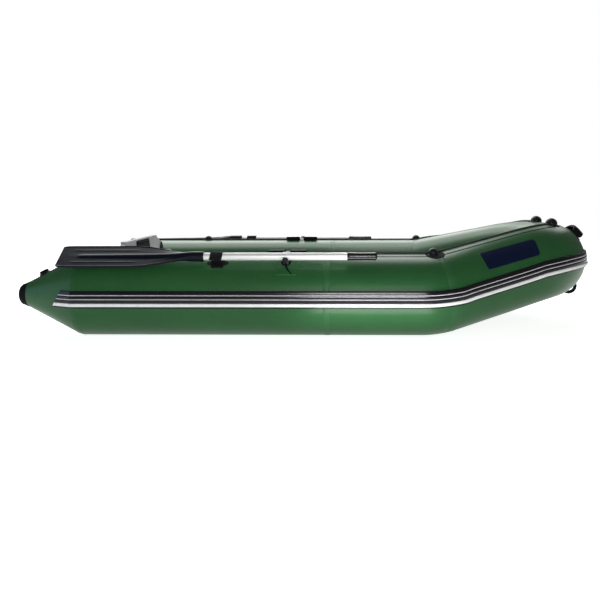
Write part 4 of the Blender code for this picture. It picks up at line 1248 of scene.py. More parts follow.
def make_drain():
    """The drain's body and nut, and its plug with a ribbed head."""
    aft = board_axes()[1]
    foot = Vector((transom_x(drain_height), 0, drain_height))
    half = transom_thickness / 2
    front = -half - drain_nut_thickness - slide_gap
    seat = half + slide_gap
    behind = seat + drain_flange_thickness
    bevel = barrel_bevel
    body = [(drain_bore, front), (drain_barrel - bevel, front), (drain_barrel, front + bevel),
            (drain_barrel, seat), (drain_flange, seat),
            *((drain_flange + across, behind + along) for across, along in flange_rim),
            (drain_bore + bevel, behind), (drain_bore, behind - bevel)]
    made = as_object(lathe(body, foot, aft, port_axis, 72, ring=True), "drain_flange")
    dressed(made, "plastic", "drain_valve_body")
    nut_face = front + nut_face_step
    nut_section = [(0, nut_face), (drain_nut_radius - nut_bevel, nut_face),
                   (drain_nut_radius, front + nut_bevel), (drain_nut_radius, -seat), (0, -seat)]
    nut = as_object(lathe(nut_section, foot, aft, port_axis, 6), "drain_nut")
    softened(nut, nut_edge, 2)
    bore_for_drain(nut)
    dressed(nut, "plastic", "drain_valve_nut", smooth=30)
    stem = drain_bore - slide_gap
    face = behind + slide_gap
    head = plug_head_radius - plug_rib_proud
    nose = face - plug_length
    cap = face + plug_head_thickness
    narrowing, taper = plug_nose
    profile = [(0, nose), (stem - narrowing, nose), (stem, nose + taper), (stem, face), (head, face)]
    profile += [(head + across, cap + along) for across, along in plug_rim] + [(0, cap - plug_dish)]
    plug = as_object(lathe(profile, foot, aft, port_axis, 72), "drain_stopper")
    ends = (face + grip_rib_start, cap - plug_rib_stop)
    merged(plug, grip_ribs(foot, aft, port_axis, head, *ends, plug_ribs, plug_rib_proud))
    dressed(plug, "rubber", "drain_plug", body="drain_plug")


def grip_ribs(foot, axis, spoke, radius, low, high, count, proud):
    """Small ribs set round a head by a node tree."""
    across = axis.cross(spoke)
    half = math.pi * radius / count * 0.5
    outline = [(radius - grip_rib_sunk, -half), (radius + proud * 0.6, -half * 0.75),
               (radius + proud, -half * 0.3)]
    outline += [(reach, -side) for reach, side in reversed(outline)]
    rib = as_object(prism(outline, Vector((0, 0, 0)), spoke, across, axis, low, high), "rib")
    return grown(rib, ring_tree("grip_ring"), "rubber", count=count, axis=tuple(axis), middle=tuple(foot))


def bench_half_width():
    return tube_side_at(bench_underside - slide_gap, tube_radius + seat_gap + rail_web) - slide_gap


def make_rail(side, name):
    """The channel that the benches' ends slide in."""
    low_slot = bench_underside - slide_gap
    high_slot = bench_underside + bench_thickness + slide_gap
    bottom = low_slot - rail_lip
    top = high_slot + rail_lip
    reach = tube_radius + seat_gap
    deep = -bench_half_width() - slide_gap
    lip_end = -bench_half_width() + rail_lip_reach
    low_angle = 180 - math.degrees(math.asin((bottom - rail_foot - tube_radius) / reach))
    high_angle = 180 - math.degrees(math.asin((top + rail_foot - tube_radius) / reach))
    section = []
    for angle in evenly(high_angle, low_angle, 1.5):
        turn = math.radians(angle)
        section.append((-half_track - reach * math.cos(turn), tube_radius + reach * math.sin(turn)))
    section += [(-tube_side_at(bottom, reach + rail_web), bottom),
                (lip_end, bottom), (lip_end, low_slot), (deep, low_slot),
                (deep, high_slot), (lip_end, high_slot), (lip_end, top),
                (-tube_side_at(top, reach) + rail_web, top)]
    places = evenly(rail_start, rail_end, rail_ring_spacing)
    rings = [[Vector((at + centre_shift, y, z)) for y, z in section] for at in places]
    rail = as_object(loft(rings), f"{name}_bench_rail", side)
    softened(rail, rail_edge, 2, 40)
    dressed(rail, "rubber", f"{name}_seat_rail")


def make_bench(node, at):
    """A varnished plywood board with round corners and eased edges."""
    outline = rounded_rectangle(bench_half_width(), bench_depth / 2, bench_corner, 12)
    foot = Vector((at + centre_shift, 0, bench_underside))
    board = as_object(prism(outline, foot, port_axis, bow_axis, up_axis, 0, bench_thickness), f"{node}_board")
    softened(board, bench_edge, 4)
    dressed(board, "bench", node, body=node, smooth=35)


# Line fittings, their patches, and the bow's handle and eye.
fitting_angle = 82.0
dome_radius = 0.026
dome_height = 0.028
bow_dome_radius = 0.034
bow_dome_height = 0.034
eye_clearance = 0.0012
line_patch_radius = 0.052
line_patch_thickness = 0.0012
patch_rim = 0.006
flange_thickness = 0.0022
flange_sunk = 0.006
neck_share = 0.86
neck_fillet = ((0.0015, 0.0004), (0, 0.0018))
dome_steps = 16
tunnel_spacing = 0.006


# The raised hem of a round patch: inset and height, as shares of its width and of the patch's thickness.
patch_hem = ((0.9, 1.5), (0.25, 1.5), (0, 0.6))


def round_patch(s, angle, radius, thickness, rim, rings=10, segments=64, squash=1.0):
    """A disc of fabric that lies on the tube, with a raised hem."""

    def at(share, turn, above):
        along = radius * share * math.cos(turn)
        around = radius * share * math.sin(turn) * squash
        place = s + along
        return on_tube(place, angle + math.degrees(around / radius_at(place)), above)

    levels = [(0.0, thickness)]
    levels += [(k / rings * (1 - rim / radius), thickness) for k in range(1, rings + 1)]
    levels += [(1 - rim / radius * inset, thickness * above) for inset, above in patch_hem]
    levels.append((1.0, -tape_sunk))
    rows = [[at(share, turn, above) for turn in (round_turns(segments) if share else [0])]
            for share, above in levels + [(0, -tape_sunk)]]
    return skinned(rows)


def rope_tunnel(start, stop):
    """Room for the rope and a little play, beside the tube's crest."""
    rings = []
    bore = rope_radius + eye_clearance
    for s in evenly(start, stop, tunnel_spacing):
        _, out, across = tube_axes(s, rope_angle)
        middle = on_tube(s, rope_angle, seat_gap + rope_radius)
        rings.append([middle + bore * (math.cos(t) * across + math.sin(t) * out) for t in round_turns(24)])
    return loft(rings)


def make_line_fitting(side, node, at, radius, height, tunnel):
    """A dome moulded in one with a thin flange, and the tunnel that the rope runs through."""
    forward, out, _ = tube_axes(at, fitting_angle)
    flange = flange_thickness
    neck = radius * neck_share
    profile = [(0, -flange_sunk), (radius, -flange_sunk), (radius, flange * 0.4),
               (radius - flange * 0.5, flange)]
    profile += [(neck + across, flange + above) for across, above in neck_fillet]
    for k in range(1, dome_steps):
        turn = math.pi / 2 * k / dome_steps
        bulge = 1 + 0.06 * math.sin(2 * turn)
        profile.append((neck * math.cos(turn) * bulge, flange + (height - flange) * math.sin(turn)))
    profile.append((0, height))
    dome = as_object(lathe(profile, on_tube(at, fitting_angle), out, forward, 64), f"{node}_dome", side)
    cut(dome, rope_tunnel(at + tunnel[0], at + tunnel[1]), side)
    dressed(dome, "plastic", node)


aft_patch_lower = 1.5
aft_patch_share = 0.8
forward_patch_lower = 2.5
bow_patch_share = 1.18


def make_line_fittings(side, name):
    """The three fittings of one line, and the round patches under them."""
    through = 2 * dome_radius
    closed = rope_end_depth + eye_clearance
    bow_at = nose_end - bow_fitting_before_nose
    for place, at, radius, height, tunnel in (
            ("aft", aft_fitting_at, dome_radius, dome_height, (-closed, through)),
            ("forward", forward_fitting_at, dome_radius, dome_height, (-through, through)),
            ("bow", bow_at, bow_dome_radius, bow_dome_height, (-2 * bow_dome_radius, closed))):
        make_line_fitting(side, f"{name}_{place}_line_fitting", at, radius, height, tunnel)
    patches = []
    for at, lower, radius in ((aft_fitting_at, aft_patch_lower, line_patch_radius * aft_patch_share),
                              (forward_fitting_at, forward_patch_lower, line_patch_radius),
                              (bow_at, 0, bow_dome_radius * bow_patch_share)):
        patch = round_patch(at, fitting_angle - lower, radius, line_patch_thickness, patch_rim)
        patches.append(as_object(patch, f"{name}_line_patches", side))
    dressed(merged(*patches), "patch", slot="black_rubber", smooth=60)


handle_angle = 44.0
handle_half_length = 0.075
handle_pad_half_width = 0.036
handle_pad_thickness = 0.006
handle_bar_half_width = 0.027
handle_bar_thickness = 0.010
handle_finger_height = 0.024
handle_foot = 0.020
handle_pad_corner = 0.016
handle_grip_corner = 0.012
eye_angle = -50.0
eye_half_width = 0.006
eye_reach = 0.034
eye_half_length = 0.034
eye_bar = 0.017
eye_pad_half = 0.045
eye_pad_thickness = 0.004
eye_pad_end = 0.002
eye_pad_spacing = 0.003
eye_pad_columns = 20
eye_steps = 32
eye_sides = 20
eye_sink = 0.004
eye_squareness = 0.7
eye_plate_low = -0.001
eye_plate_high = 0.004
eye_plate_half_width = 0.014
eye_plate_edge = 0.0018


def across_nose(offset, angle, above):
    """A point on the nose, counted along the tube from the boat's middle line."""
    point = on_tube(nose_end - abs(offset), angle, above)
    if offset > 0:
        point.y = -point.y
    return point


corner_left = 0.06
nose_rim_share = 0.45


def nose_sheet(half, middle_angle, half_width, low, high, corner, columns=40, rows=18):
    """A sheet across the nose with round corners; low and high give its two sides."""
    rings = []
    for offset in evenly(-half, half, 2 * half / columns):
        inset = max(0, abs(offset) - (half - corner))
        width = half_width - corner + math.sqrt(max(corner ** 2 - inset ** 2, (corner * corner_left) ** 2))
        spread = math.degrees(width / bow_radius)
        angles = [middle_angle + spread * (2 * k / rows - 1) for k in range(rows + 1)]
        edge = min(1, width / half_width)
        ring = [across_nose(offset, angle, low(offset)) for angle in angles]
        for k, angle in reversed(list(enumerate(angles))):
            rim = nose_rim_share if k in (0, rows) else 1
            ring.append(across_nose(offset, angle, low(offset) + (high(offset) - low(offset)) * rim * edge))
        rings.append(ring)
    return loft(rings)


handle_pad_share = 0.6
handle_rest_share = 0.4
handle_tuck = 0.3
handle_swell = 0.25


def make_bow_handle():
    """A patch with an arched strap grip; its ends run flat into the patch."""
    top = handle_pad_thickness
    reach = handle_half_length
    pad_sheet = nose_sheet(reach, handle_angle, handle_pad_half_width, lambda offset: -tape_sunk,
                           lambda offset: top * handle_pad_share, handle_pad_corner)
    pad = as_object(pad_sheet, "bow_carry_handle")
    span = reach - handle_foot / 2

    def arch(offset):
        share = min(abs(offset) / span, 1)
        return handle_finger_height * (1 - share ** 4)

    def under(offset):
        return top * handle_rest_share + arch(offset) - top * handle_tuck * (abs(offset) / span) ** 4

    def over(offset):
        swell = 1 + handle_swell * math.cos(math.pi * min(abs(offset) / span, 1) / 2)
        return under(offset) + handle_bar_thickness * swell

    grip = nose_sheet(span, handle_angle, handle_bar_half_width, under, over, handle_grip_corner)
    merged(pad, as_object(grip, "grip"))
    dressed(pad, "rubber", "bow_handle", "bow_handle_patch", smooth=60)


def make_tow_eye():
    """A moulded eye on a round patch under the nose."""
    rows = []
    for offset in evenly(-eye_pad_half, eye_pad_half, eye_pad_spacing):
        width = math.sqrt(max(eye_pad_half ** 2 - offset ** 2, eye_pad_end ** 2))
        spread = math.degrees(width / bow_radius)
        shares = [2 * k / eye_pad_columns - 1 for k in range(eye_pad_columns + 1)]
        ring = [across_nose(offset, eye_angle + spread * share, -tape_sunk) for share in shares]
        for share in reversed(shares):
            above = eye_pad_thickness * (1 if abs(share) < 1 else 0.5)
            ring.append(across_nose(offset, eye_angle + spread * share, above))
        rows.append(ring)
    dressed(as_object(loft(rows), "tow_patch"), "bottom", "tow_eye_patch", smooth=60)
    centre = tube_frame(nose_end)[0]
    _, out, along = tube_axes(nose_end, eye_angle)
    out.y = 0
    along.y = 0
    foot = Vector((centre.x, 0, centre.z)) + out * (bow_radius + eye_pad_thickness)
    rings = []
    for k in range(-2, eye_steps + 3):
        turn = math.pi * min(max(k / eye_steps, 0), 1)
        sink = -eye_sink * max(0, -k, k - eye_steps)
        middle = foot + along * (eye_half_length * math.cos(turn)) + out * (eye_reach * math.sin(turn) + sink)
        radial = (along * math.cos(turn) + out * math.sin(turn)).normalized()
        swell = 1 + 0.5 * abs(math.cos(turn)) ** 3
        ring = []
        for round_turn in round_turns(eye_sides):
            thick, wide = (math.copysign(abs(value) ** eye_squareness, value)
                           for value in (math.cos(round_turn), math.sin(round_turn)))
            aside = port_axis * (eye_half_width * swell * wide)
            ring.append(middle + radial * (eye_bar / 2 * thick) + aside)
        rings.append(ring)
    eye = as_object(loft(rings), "tow_ring")
    half = eye_half_length + eye_bar
    outline = [(-half, eye_plate_low), (half, eye_plate_low), (half, eye_plate_high), (-half, eye_plate_high)]
    sides = (-eye_plate_half_width, eye_plate_half_width)
    plate = as_object(prism(outline, foot, along, out, port_axis, *sides), "plate")
    softened(plate, eye_plate_edge, 3)
    merged(eye, plate)
    dressed(eye, "rubber", "tow_eye", smooth=60)


# The bare plate on the bow's flank: four corners, each as station and angle.
plate_corners = ((1.850, 54.0), (2.147, 52.5), (2.136, 24.5), (1.848, 25.0))
plate_thickness = 0.0008
plate_hem = 0.0006
plate_corner_shares = (0.040, 0.15)
plate_end_share = 0.001
plate_spacing = 0.02
plate_rows = 20


def make_name_plate(side, name):
    """A bare dark patch on the bow's flank, with rounded corners and a raised hem."""
    (s0, a0), (s1, a1), (s2, a2), (s3, a3) = plate_corners
    corner_along, corner_across = plate_corner_shares

    def skin(along, across, above):
        s = (s0 + (s1 - s0) * along) * (1 - across) + (s3 + (s2 - s3) * along) * across
        angle = (a0 + (a1 - a0) * along) * (1 - across) + (a3 + (a2 - a3) * along) * across
        return on_tube(s, angle, above)

    ends = [corner_along * (1 - math.cos(math.pi / 2 * k / 8)) for k in range(9)]
    rings = []
    middle = evenly(corner_along, 1 - corner_along, plate_spacing)[1:-1]
    for along in ends + middle + [1 - share for share in reversed(ends)]:
        from_end = min(along, 1 - along)
        reach = max(0, 1 - from_end / corner_along)
        inset = corner_across * (1 - math.sqrt(1 - reach ** 2)) + plate_end_share
        low_ring = []
        high_ring = []
        for row in range(plate_rows + 1):
            across = inset + (1 - 2 * inset) * row / plate_rows
            hem = min(from_end * 6, min(across, 1 - across) * 2)
            above = plate_thickness + plate_hem * (1 - ease(hem, 0.10, 0.14))
            low_ring.append(skin(along, across, -tape_sunk))
            on_edge = row in (0, plate_rows) or from_end == 0
            high_ring.append(skin(along, across, above * (0.4 if on_edge else 1)))
        rings.append(low_ring + high_ring[::-1])
    plate = as_object(loft(rings), f"{name}_name_plate", side)
    dressed(plate, "plate", slot="tube_fabric", smooth=60)


# Oars, rowlocks and clips.
shaft_aft_end = 0.425
shaft_fore_end = 0.400
spigot_length = 0.105
spigot_step = 0.0025
shaft_rings_from = -0.37
shaft_ring_spacing = 0.06
grip_radius = 0.0180
grip_end_wall = 0.012
grip_cuff = 0.018
grip_cuff_lip = 0.0008
grip_cuff_proud = 0.0003
grip_cuff_bevel = 0.0016
grip_cuff_end = 0.006
grip_groove_start = 0.010
grip_groove_run_less = 0.026
grip_groove_depth = 0.0004
grip_waist = 0.0006
grip_skin_step = 0.0002
grip_grooves = 4
grip_steps = 48
grip_dome = 0.010
grip_dome_start = 0.014
grip_dome_steps = 9
boss_top = 0.2030
socket_boss_radius = 0.019
pivot_pin_radius = 0.0085
pivot_pin_bevel = 0.001
boss_foot = ((0.004, 0), (0.0035, 0.003), (0.0006, 0.0052))
boss_bevel = 0.0015
socket_depth = 0.009
pin_depth = 0.0085
fork_plate = 0.0060
fork_wall = 0.0042
fork_width = 0.024
fork_above_shaft = 0.010
fork_edge = 0.0013
bolt_radius = 0.0040
bolt_head_radius = 0.0075
bolt_head_height = 0.005
bolt_tip = 0.009
bolt_bevel = 0.001
knob_radius = 0.0145
knob_height = 0.016
# The knob's outline: height and radius, as shares.
knob_outline = (
    (0.0, 0.80), (0.075, 0.92), (0.25, 0.985), (0.5, 1.0), (0.78125, 0.97), (0.925, 0.86), (0.98125, 0.68),
    (1.0, 0.45),
)
knob_sides = 96
knob_lobes = 6
knob_lobe_depth = 0.10
base_half_length = 0.047
base_low_angle = 34.0
base_high_angle = 82.5
base_thickness = 0.005
lug_gap = 0.027
lug_length = 0.075
lug_height = 0.021
lug_undercut = 0.014
lug_low_angle = 79.0
lug_high_angle = 96.0
lug_edge = 0.0016
lug_tunnel_reach = 0.13
lug_spacing = 0.003
tag_inset = 0.004
tag_angles = (88.2, 95.0)
tag_thickness = 0.013
# A thin dark strip down the saddle below the socket: its angles, bend, width and thickness.
streak_top_angle = 52.0
streak_low_angle = 34.6
streak_bend = 0.028
streak_half_width = 0.0052
streak_thickness = 0.0012
clip_at = 0.657
clip_length = 0.056
clip_wall = 0.0038
clip_upper_lip = 0.041
clip_soft_edge = 0.008
clip_lower_lip = 0.004
clip_clearance = 0.0008
clip_stem_half = 0.009
clip_foot_half = 0.030
clip_foot = 0.007
clip_patch_radius = 0.050
clip_patch_thickness = 0.001
clip_patch_rim = 0.004
clip_patch_squash = 0.42
clip_arc_steps = 40
clip_edge = 0.0012
clip_stem_edge = 0.001
blade_rim_width = 0.007
blade_web = 0.0024
blade_rim = 0.0021
blade_spine = 0.0085
blade_spine_run = (0.004, 0.019)
blade_rib = 0.0016
blade_rib_run = (0.001, 0.0038)
blade_rib_place = 0.56
blade_edge = 0.0028
blade_columns = 56
blade_step = 0.009
collar_bore_less = 0.0004
collar_profile = ((-0.002, -0.003), (0.0003, -0.001), (0.0008, 0.004), (0.0008, 0.010), (0, 0.012))
starboard_blade_roll = 4.5
port_blade_roll = 30.0


def oar_axes():
    """The shoulder's outward direction and the way the blade swings."""
    turn = math.radians(shoulder_angle)
    return Vector((0, -math.cos(turn), math.sin(turn))), Vector((0, -math.sin(turn), -math.cos(turn)))


def oar_point(at, height=0, swing_by=0):
    out, swing = oar_axes()
    return Vector((at + centre_shift, -half_track, tube_radius)) + out * height + swing * swing_by


# A pad's soft edge: the first step in from its ends, and its height at the rim, there and on the sides.
sheet_first_step = 0.4
sheet_rise = {0: 0.35, 1: 0.8}
sheet_side_share = 0.35


def tube_sheet(start, stop, low, high, thickness, spacing=0.003, rim=0.0016):
    """A pad on the tube's skin with a soft upper edge."""
    rings = []
    low_in = low + math.degrees(rim / tube_radius)
    high_in = high - math.degrees(rim / tube_radius)
    inner = evenly(low_in, high_in, math.degrees(spacing / tube_radius))
    first = rim * sheet_first_step
    places = [start, start + first] + evenly(start + rim, stop - rim, spacing) + [stop - first, stop]
    for k, s in enumerate(places):
        top = thickness * sheet_rise.get(min(k, len(places) - 1 - k), 1.0)
        ring = [on_tube(s, angle, -tape_sunk) for angle in [low] + inner + [high]]
        ring += [on_tube(s, high, top * sheet_side_share)]
        ring += [on_tube(s, angle, top) for angle in reversed(inner)]
        ring += [on_tube(s, low, top * sheet_side_share)]
        rings.append(ring)
    return loft(rings)


def make_rowlock_base(side, name):
    """A saddle of hull fabric with a thin dark strip on it, a moulded socket, and two lugs that the line runs
    through.
    """
    out, _ = oar_axes()
    span = (rowlock_at - base_half_length, rowlock_at + base_half_length)
    saddle = as_object(tube_sheet(*span, base_low_angle, base_high_angle, base_thickness),
                       f"{name}_rowlock_saddle", side)
    dressed(saddle, "tube", slot="tube_fabric")
    # A thin dark strip that runs down the saddle below the socket.
    dark_streak = as_object(dark_streak_mesh(), f"{name}_rowlock_dark_streak", side)
    dressed(dark_streak, "seam", slot="tube_fabric", smooth=50)
    foot = oar_point(rowlock_at)
    low = tube_radius + base_thickness / 2
    bore = pivot_pin_radius + slide_gap
    boss = [(0, low), *((socket_boss_radius + across, low + above) for across, above in boss_foot),
            (socket_boss_radius, boss_top - boss_bevel), (socket_boss_radius - boss_bevel, boss_top),
            (bore, boss_top), (bore, boss_top - socket_depth), (0, boss_top - socket_depth)]
    parts = [as_object(lathe(boss, foot, out, bow_axis, 64), "boss", side)]
    for way in (1, -1):
        lug = as_object(lug_mesh(way), "lug", side)
        softened(lug, lug_edge, 3)
        cut(lug, rope_tunnel(rowlock_at - lug_tunnel_reach, rowlock_at + lug_tunnel_reach), side)
        parts.append(lug)
    socket = merged(*parts)
    socket.name = f"{name}_rowlock_socket"
    dressed(socket, "rubber", f"{name}_rowlock_base")
    half = lug_gap / 2 - tag_inset
    tag = tube_sheet(rowlock_at - half, rowlock_at + half, *tag_angles, tag_thickness)
    dressed(as_object(tag, f"{name}_rowlock_tag", side), "bead", slot="white_bead")


streak_narrowing = 0.35
streak_edge_share = 0.85
streak_flat_share = 0.7


def dark_streak_mesh():
    """A thin dark strip that runs down the saddle from the socket and curves forward."""
    rings = []
    for share in evenly(0, 1, 0.05):
        angle = streak_top_angle + (streak_low_angle - streak_top_angle) * share
        middle = rowlock_at + streak_bend * share ** 2
        half = streak_half_width * (1 - streak_narrowing * share)
        above = (base_thickness if angle > base_low_angle else 0) + streak_thickness
        edge = above * streak_edge_share
        flat = streak_flat_share
        section = ((-1, -tape_sunk), (-1, edge), (-flat, above), (flat, above), (1, edge), (1, -tape_sunk))
        rings.append([on_tube(middle + half * way, angle, height) for way, height in section])
    return loft(rings)


def lug_mesh(way):
    """One lug: full height by the gap, its outer end undercut and rounded."""
    near = lug_gap / 2
    far = near + lug_length
    rings = []
    for at in evenly(near, far, lug_spacing):
        lift = lug_height / 2 * ease(at, far - lug_undercut * 1.6, far)
        s = rowlock_at + way * at
        angles = evenly(lug_low_angle, lug_high_angle, 1.5)
        ring = [on_tube(s, angle, lift - tape_sunk) for angle in angles]
        ring += [on_tube(s, angle, seat_gap + lug_height) for angle in reversed(angles)]
        rings.append(ring)
    return loft(rings)


def make_fork(side, name):
    """The swivelling fork, bent from thick plate, with its pin."""
    out, swing = oar_axes()
    inner = shaft_radius + slide_gap
    outer = inner + fork_wall
    plate_low = boss_top + slide_gap
    plate_high = plate_low + fork_plate
    arm_top = oar_height + fork_above_shaft
    outline = [(-outer, plate_low), (outer, plate_low), (outer, arm_top), (inner, arm_top),
               (inner, plate_high), (-inner, plate_high), (-inner, arm_top), (-outer, arm_top)]
    foot = oar_point(rowlock_at)
    fork = as_object(prism(outline, foot, swing, out, bow_axis, -fork_width / 2, fork_width / 2),
                     f"{name}_oar_fork", side)
    softened(fork, fork_edge, 3)
    deep = boss_top - pin_depth
    high = plate_low + fork_plate / 2
    pin = [(0, deep), (pivot_pin_radius - pivot_pin_bevel, deep), (pivot_pin_radius, deep + pivot_pin_bevel),
           (pivot_pin_radius, high), (0, high)]
    merged(fork, as_object(lathe(pin, foot, out, bow_axis, 48), "pin", side))
    dressed(fork, "steel", f"{name}_rowlock_fork", body=f"{name}_oar")


def make_bolt_and_knob(side, name):
    """A bolt through fork and shaft; its star knob sits on the outboard side."""
    _, swing = oar_axes()
    foot = oar_point(rowlock_at, oar_height)
    arm = shaft_radius + slide_gap + fork_wall + slide_gap
    tip = arm + bolt_tip
    rod = [(0, -arm - bolt_bevel), (bolt_radius, -arm - bolt_bevel), (bolt_radius, tip - bolt_bevel),
           (bolt_radius - bolt_bevel, tip), (0, tip)]
    bolt = as_object(lathe(rod, foot, swing, bow_axis, 32), f"{name}_oar_bolt", side)
    face = arm + bolt_head_height
    head = [(0, arm), (bolt_head_radius, arm), (bolt_head_radius, face - bolt_head_radius * 0.12),
            (bolt_head_radius * 0.9, face), (0, face)]
    merged(bolt, as_object(lathe(head, foot, -swing, bow_axis, 6), "head", side))
    dressed(bolt, "steel", f"{name}_rowlock_bolt", body=f"{name}_oar", smooth=30)
    rings = []
    for height, share in knob_outline:
        ring = []
        for turn in round_turns(knob_sides):
            lobe = 1 - knob_lobe_depth * (0.5 - 0.5 * math.cos(knob_lobes * turn)) ** 2 * min(1, share * 1.1)
            across = bow_axis * math.cos(turn) + swing.cross(bow_axis) * math.sin(turn)
            ring.append(foot + swing * (arm + height * knob_height) + across * knob_radius * share * lobe)
        rings.append(ring)
    knob = as_object(loft(rings), f"{name}_star_knob", side)
    dressed(knob, "plastic", f"{name}_rowlock_knob", body=f"{name}_knob", smooth=50)


def make_shaft(side, name):
    """A drawn tube with a thinner end inside the grip."""
    spigot = shaft_radius - spigot_step
    spigot_start = shaft_fore_end - spigot_length
    profile = [(0, -shaft_aft_end), (shaft_radius, -shaft_aft_end)]
    profile += [(shaft_radius, at) for at in evenly(shaft_rings_from, spigot_start, shaft_ring_spacing)]
    profile += [(spigot, spigot_start), (spigot, shaft_fore_end), (0, shaft_fore_end)]
    foot = oar_point(rowlock_at, oar_height)
    shaft = as_object(lathe(profile, foot, bow_axis, oar_axes()[0], 64), f"{name}_oar_tube", side)
    dressed(shaft, "shaft", f"{name}_oar_shaft", body=f"{name}_oar")


grip_floor = 0.001
grip_neck = 0.008


def make_grip(side, name):
    """A moulded grip with finger grooves and a domed end."""
    foot = oar_point(rowlock_at, oar_height)
    start = shaft_fore_end - spigot_length + slide_gap
    cuff = start - grip_cuff
    stop = shaft_fore_end + slide_gap + grip_end_wall
    proud = grip_radius + grip_cuff_proud
    profile = [(0, start + grip_floor), (shaft_radius - grip_cuff_lip, cuff),
               (shaft_radius + grip_cuff_lip, cuff), (proud, cuff + grip_cuff_bevel),
               (proud, start + grip_cuff_end), (grip_radius, start + grip_neck)]
    run = stop - start - grip_groove_run_less
    for k in range(grip_steps + 1):
        share = k / grip_steps
        dip = grip_groove_depth * (0.5 - 0.5 * math.cos(2 * math.pi * share * grip_grooves))
        waist = grip_waist * math.sin(math.pi * share)
        profile.append((grip_radius - grip_skin_step - dip - waist, start + grip_groove_start + run * share))
    profile.append((grip_radius, stop - grip_dome_start))
    profile += arc(0, stop - grip_dome, grip_radius, grip_dome, 0, math.pi / 2, grip_dome_steps)[:-1]
    profile.append((0, stop))
    grip = as_object(lathe(profile, foot, bow_axis, oar_axes()[0], 64), f"{name}_hand_grip", side)
    dressed(grip, "grip", f"{name}_oar_grip", body=f"{name}_oar", smooth=50)


# Along the blade from its neck: place, half width, roundness and spine, as shares.
blade_shares = (
    (0.0, 0.28, 1.0, 1.0), (0.08, 0.28, 1.0, 1.0), (0.14, 0.38, 0.7, 1.0), (0.20, 0.55, 0.35, 1.0),
    (0.29, 0.75, 0.1, 1.0), (0.39, 0.92, 0.0, 0.95), (0.49, 1.0, 0.0, 0.85), (0.84, 1.0, 0.0, 0.5),
    (0.88, 1.0, 0.0, 0.05), (0.965, 0.99, 0.0, 0.0), (0.99, 0.94, 0.0, 0.0), (1.0, 0.86, 0.0, 0.0),
)


def blade_value(share, column):
    """A smooth curve through the blade's shares."""
    for near, far in zip(blade_shares, blade_shares[1:]):
        if share <= far[0]:
            run = (share - near[0]) / (far[0] - near[0])
            eased = run * run * (3 - 2 * run)
            blend = 0.5 * run + 0.5 * eased
            return near[column] + (far[column] - near[column]) * blend
    return blade_shares[-1][column]


def rolled(at, lift, across, roll):
    """A point of the blade, turned about the shaft."""
    height = oar_height + lift * math.cos(roll) + across * math.sin(roll)
    return oar_point(at, height, across * math.cos(roll) - lift * math.sin(roll))


blade_rib_start = (0.42, 0.5)
blade_rib_stop = (0.88, 0.93)
blade_rim_run = (blade_rim_width * 0.6, blade_rim_width * 1.2)


def make_blade(side, name):
    """A moulded blade: thin web, rolled rim, a central spine and two ribs each side."""
    roll = math.radians(starboard_blade_roll if side > 0 else port_blade_roll)
    rings = []
    length = blade_tip - blade_neck_end
    for share in evenly(0, 1, blade_step):
        half = blade_half_width * blade_value(share, 1)
        roundness = blade_value(share, 2)
        spine = blade_value(share, 3)
        at = blade_neck_end + length * share
        top = []
        bottom = []
        rib_here = blade_rib * ease(share, *blade_rib_start) * (1 - ease(share, *blade_rib_stop))
        for k in range(blade_columns + 1):
            across = -math.cos(math.pi * k / blade_columns) * half
            edge = half - abs(across)
            rim = blade_rim * (1 - ease(edge, *blade_rim_run))
            ridge = blade_spine * spine * (1 - ease(abs(across), *blade_spine_run))
            ribs = rib_here * (1 - ease(abs(abs(across) - half * blade_rib_place), *blade_rib_run))
            closing = math.sqrt(max(0, 1 - (1 - min(edge / blade_edge, 1)) ** 2))
            lift = (blade_web + rim + ridge + ribs) * closing
            turn = math.pi * (1 - k / blade_columns)
            x_across = across + (socket_radius * math.cos(turn) - across) * roundness
            lift = lift + (socket_radius * math.sin(turn) - lift) * roundness
            top.append(rolled(rowlock_at - at, lift, x_across, roll))
            bottom.append(rolled(rowlock_at - at, -lift, x_across, roll))
        rings.append(top + bottom[-2:0:-1])
    blade = as_object(loft(rings), f"{name}_blade", side)
    bore = shaft_radius - collar_bore_less
    outside = [(socket_radius + across, blade_neck_end + along) for across, along in collar_profile]
    collar = [(bore, outside[0][1]), *outside, (bore, outside[-1][1])]
    foot = oar_point(rowlock_at, oar_height)
    merged(blade, as_object(lathe(collar, foot, -bow_axis, oar_axes()[0], 64, ring=True), "collar", side))
    dressed(blade, "blade", f"{name}_oar_blade", body=f"{name}_oar", smooth=50)


clip_waist_half = clip_stem_half * 0.8
clip_flare_half = clip_stem_half * 1.5
clip_stem_share = 0.92


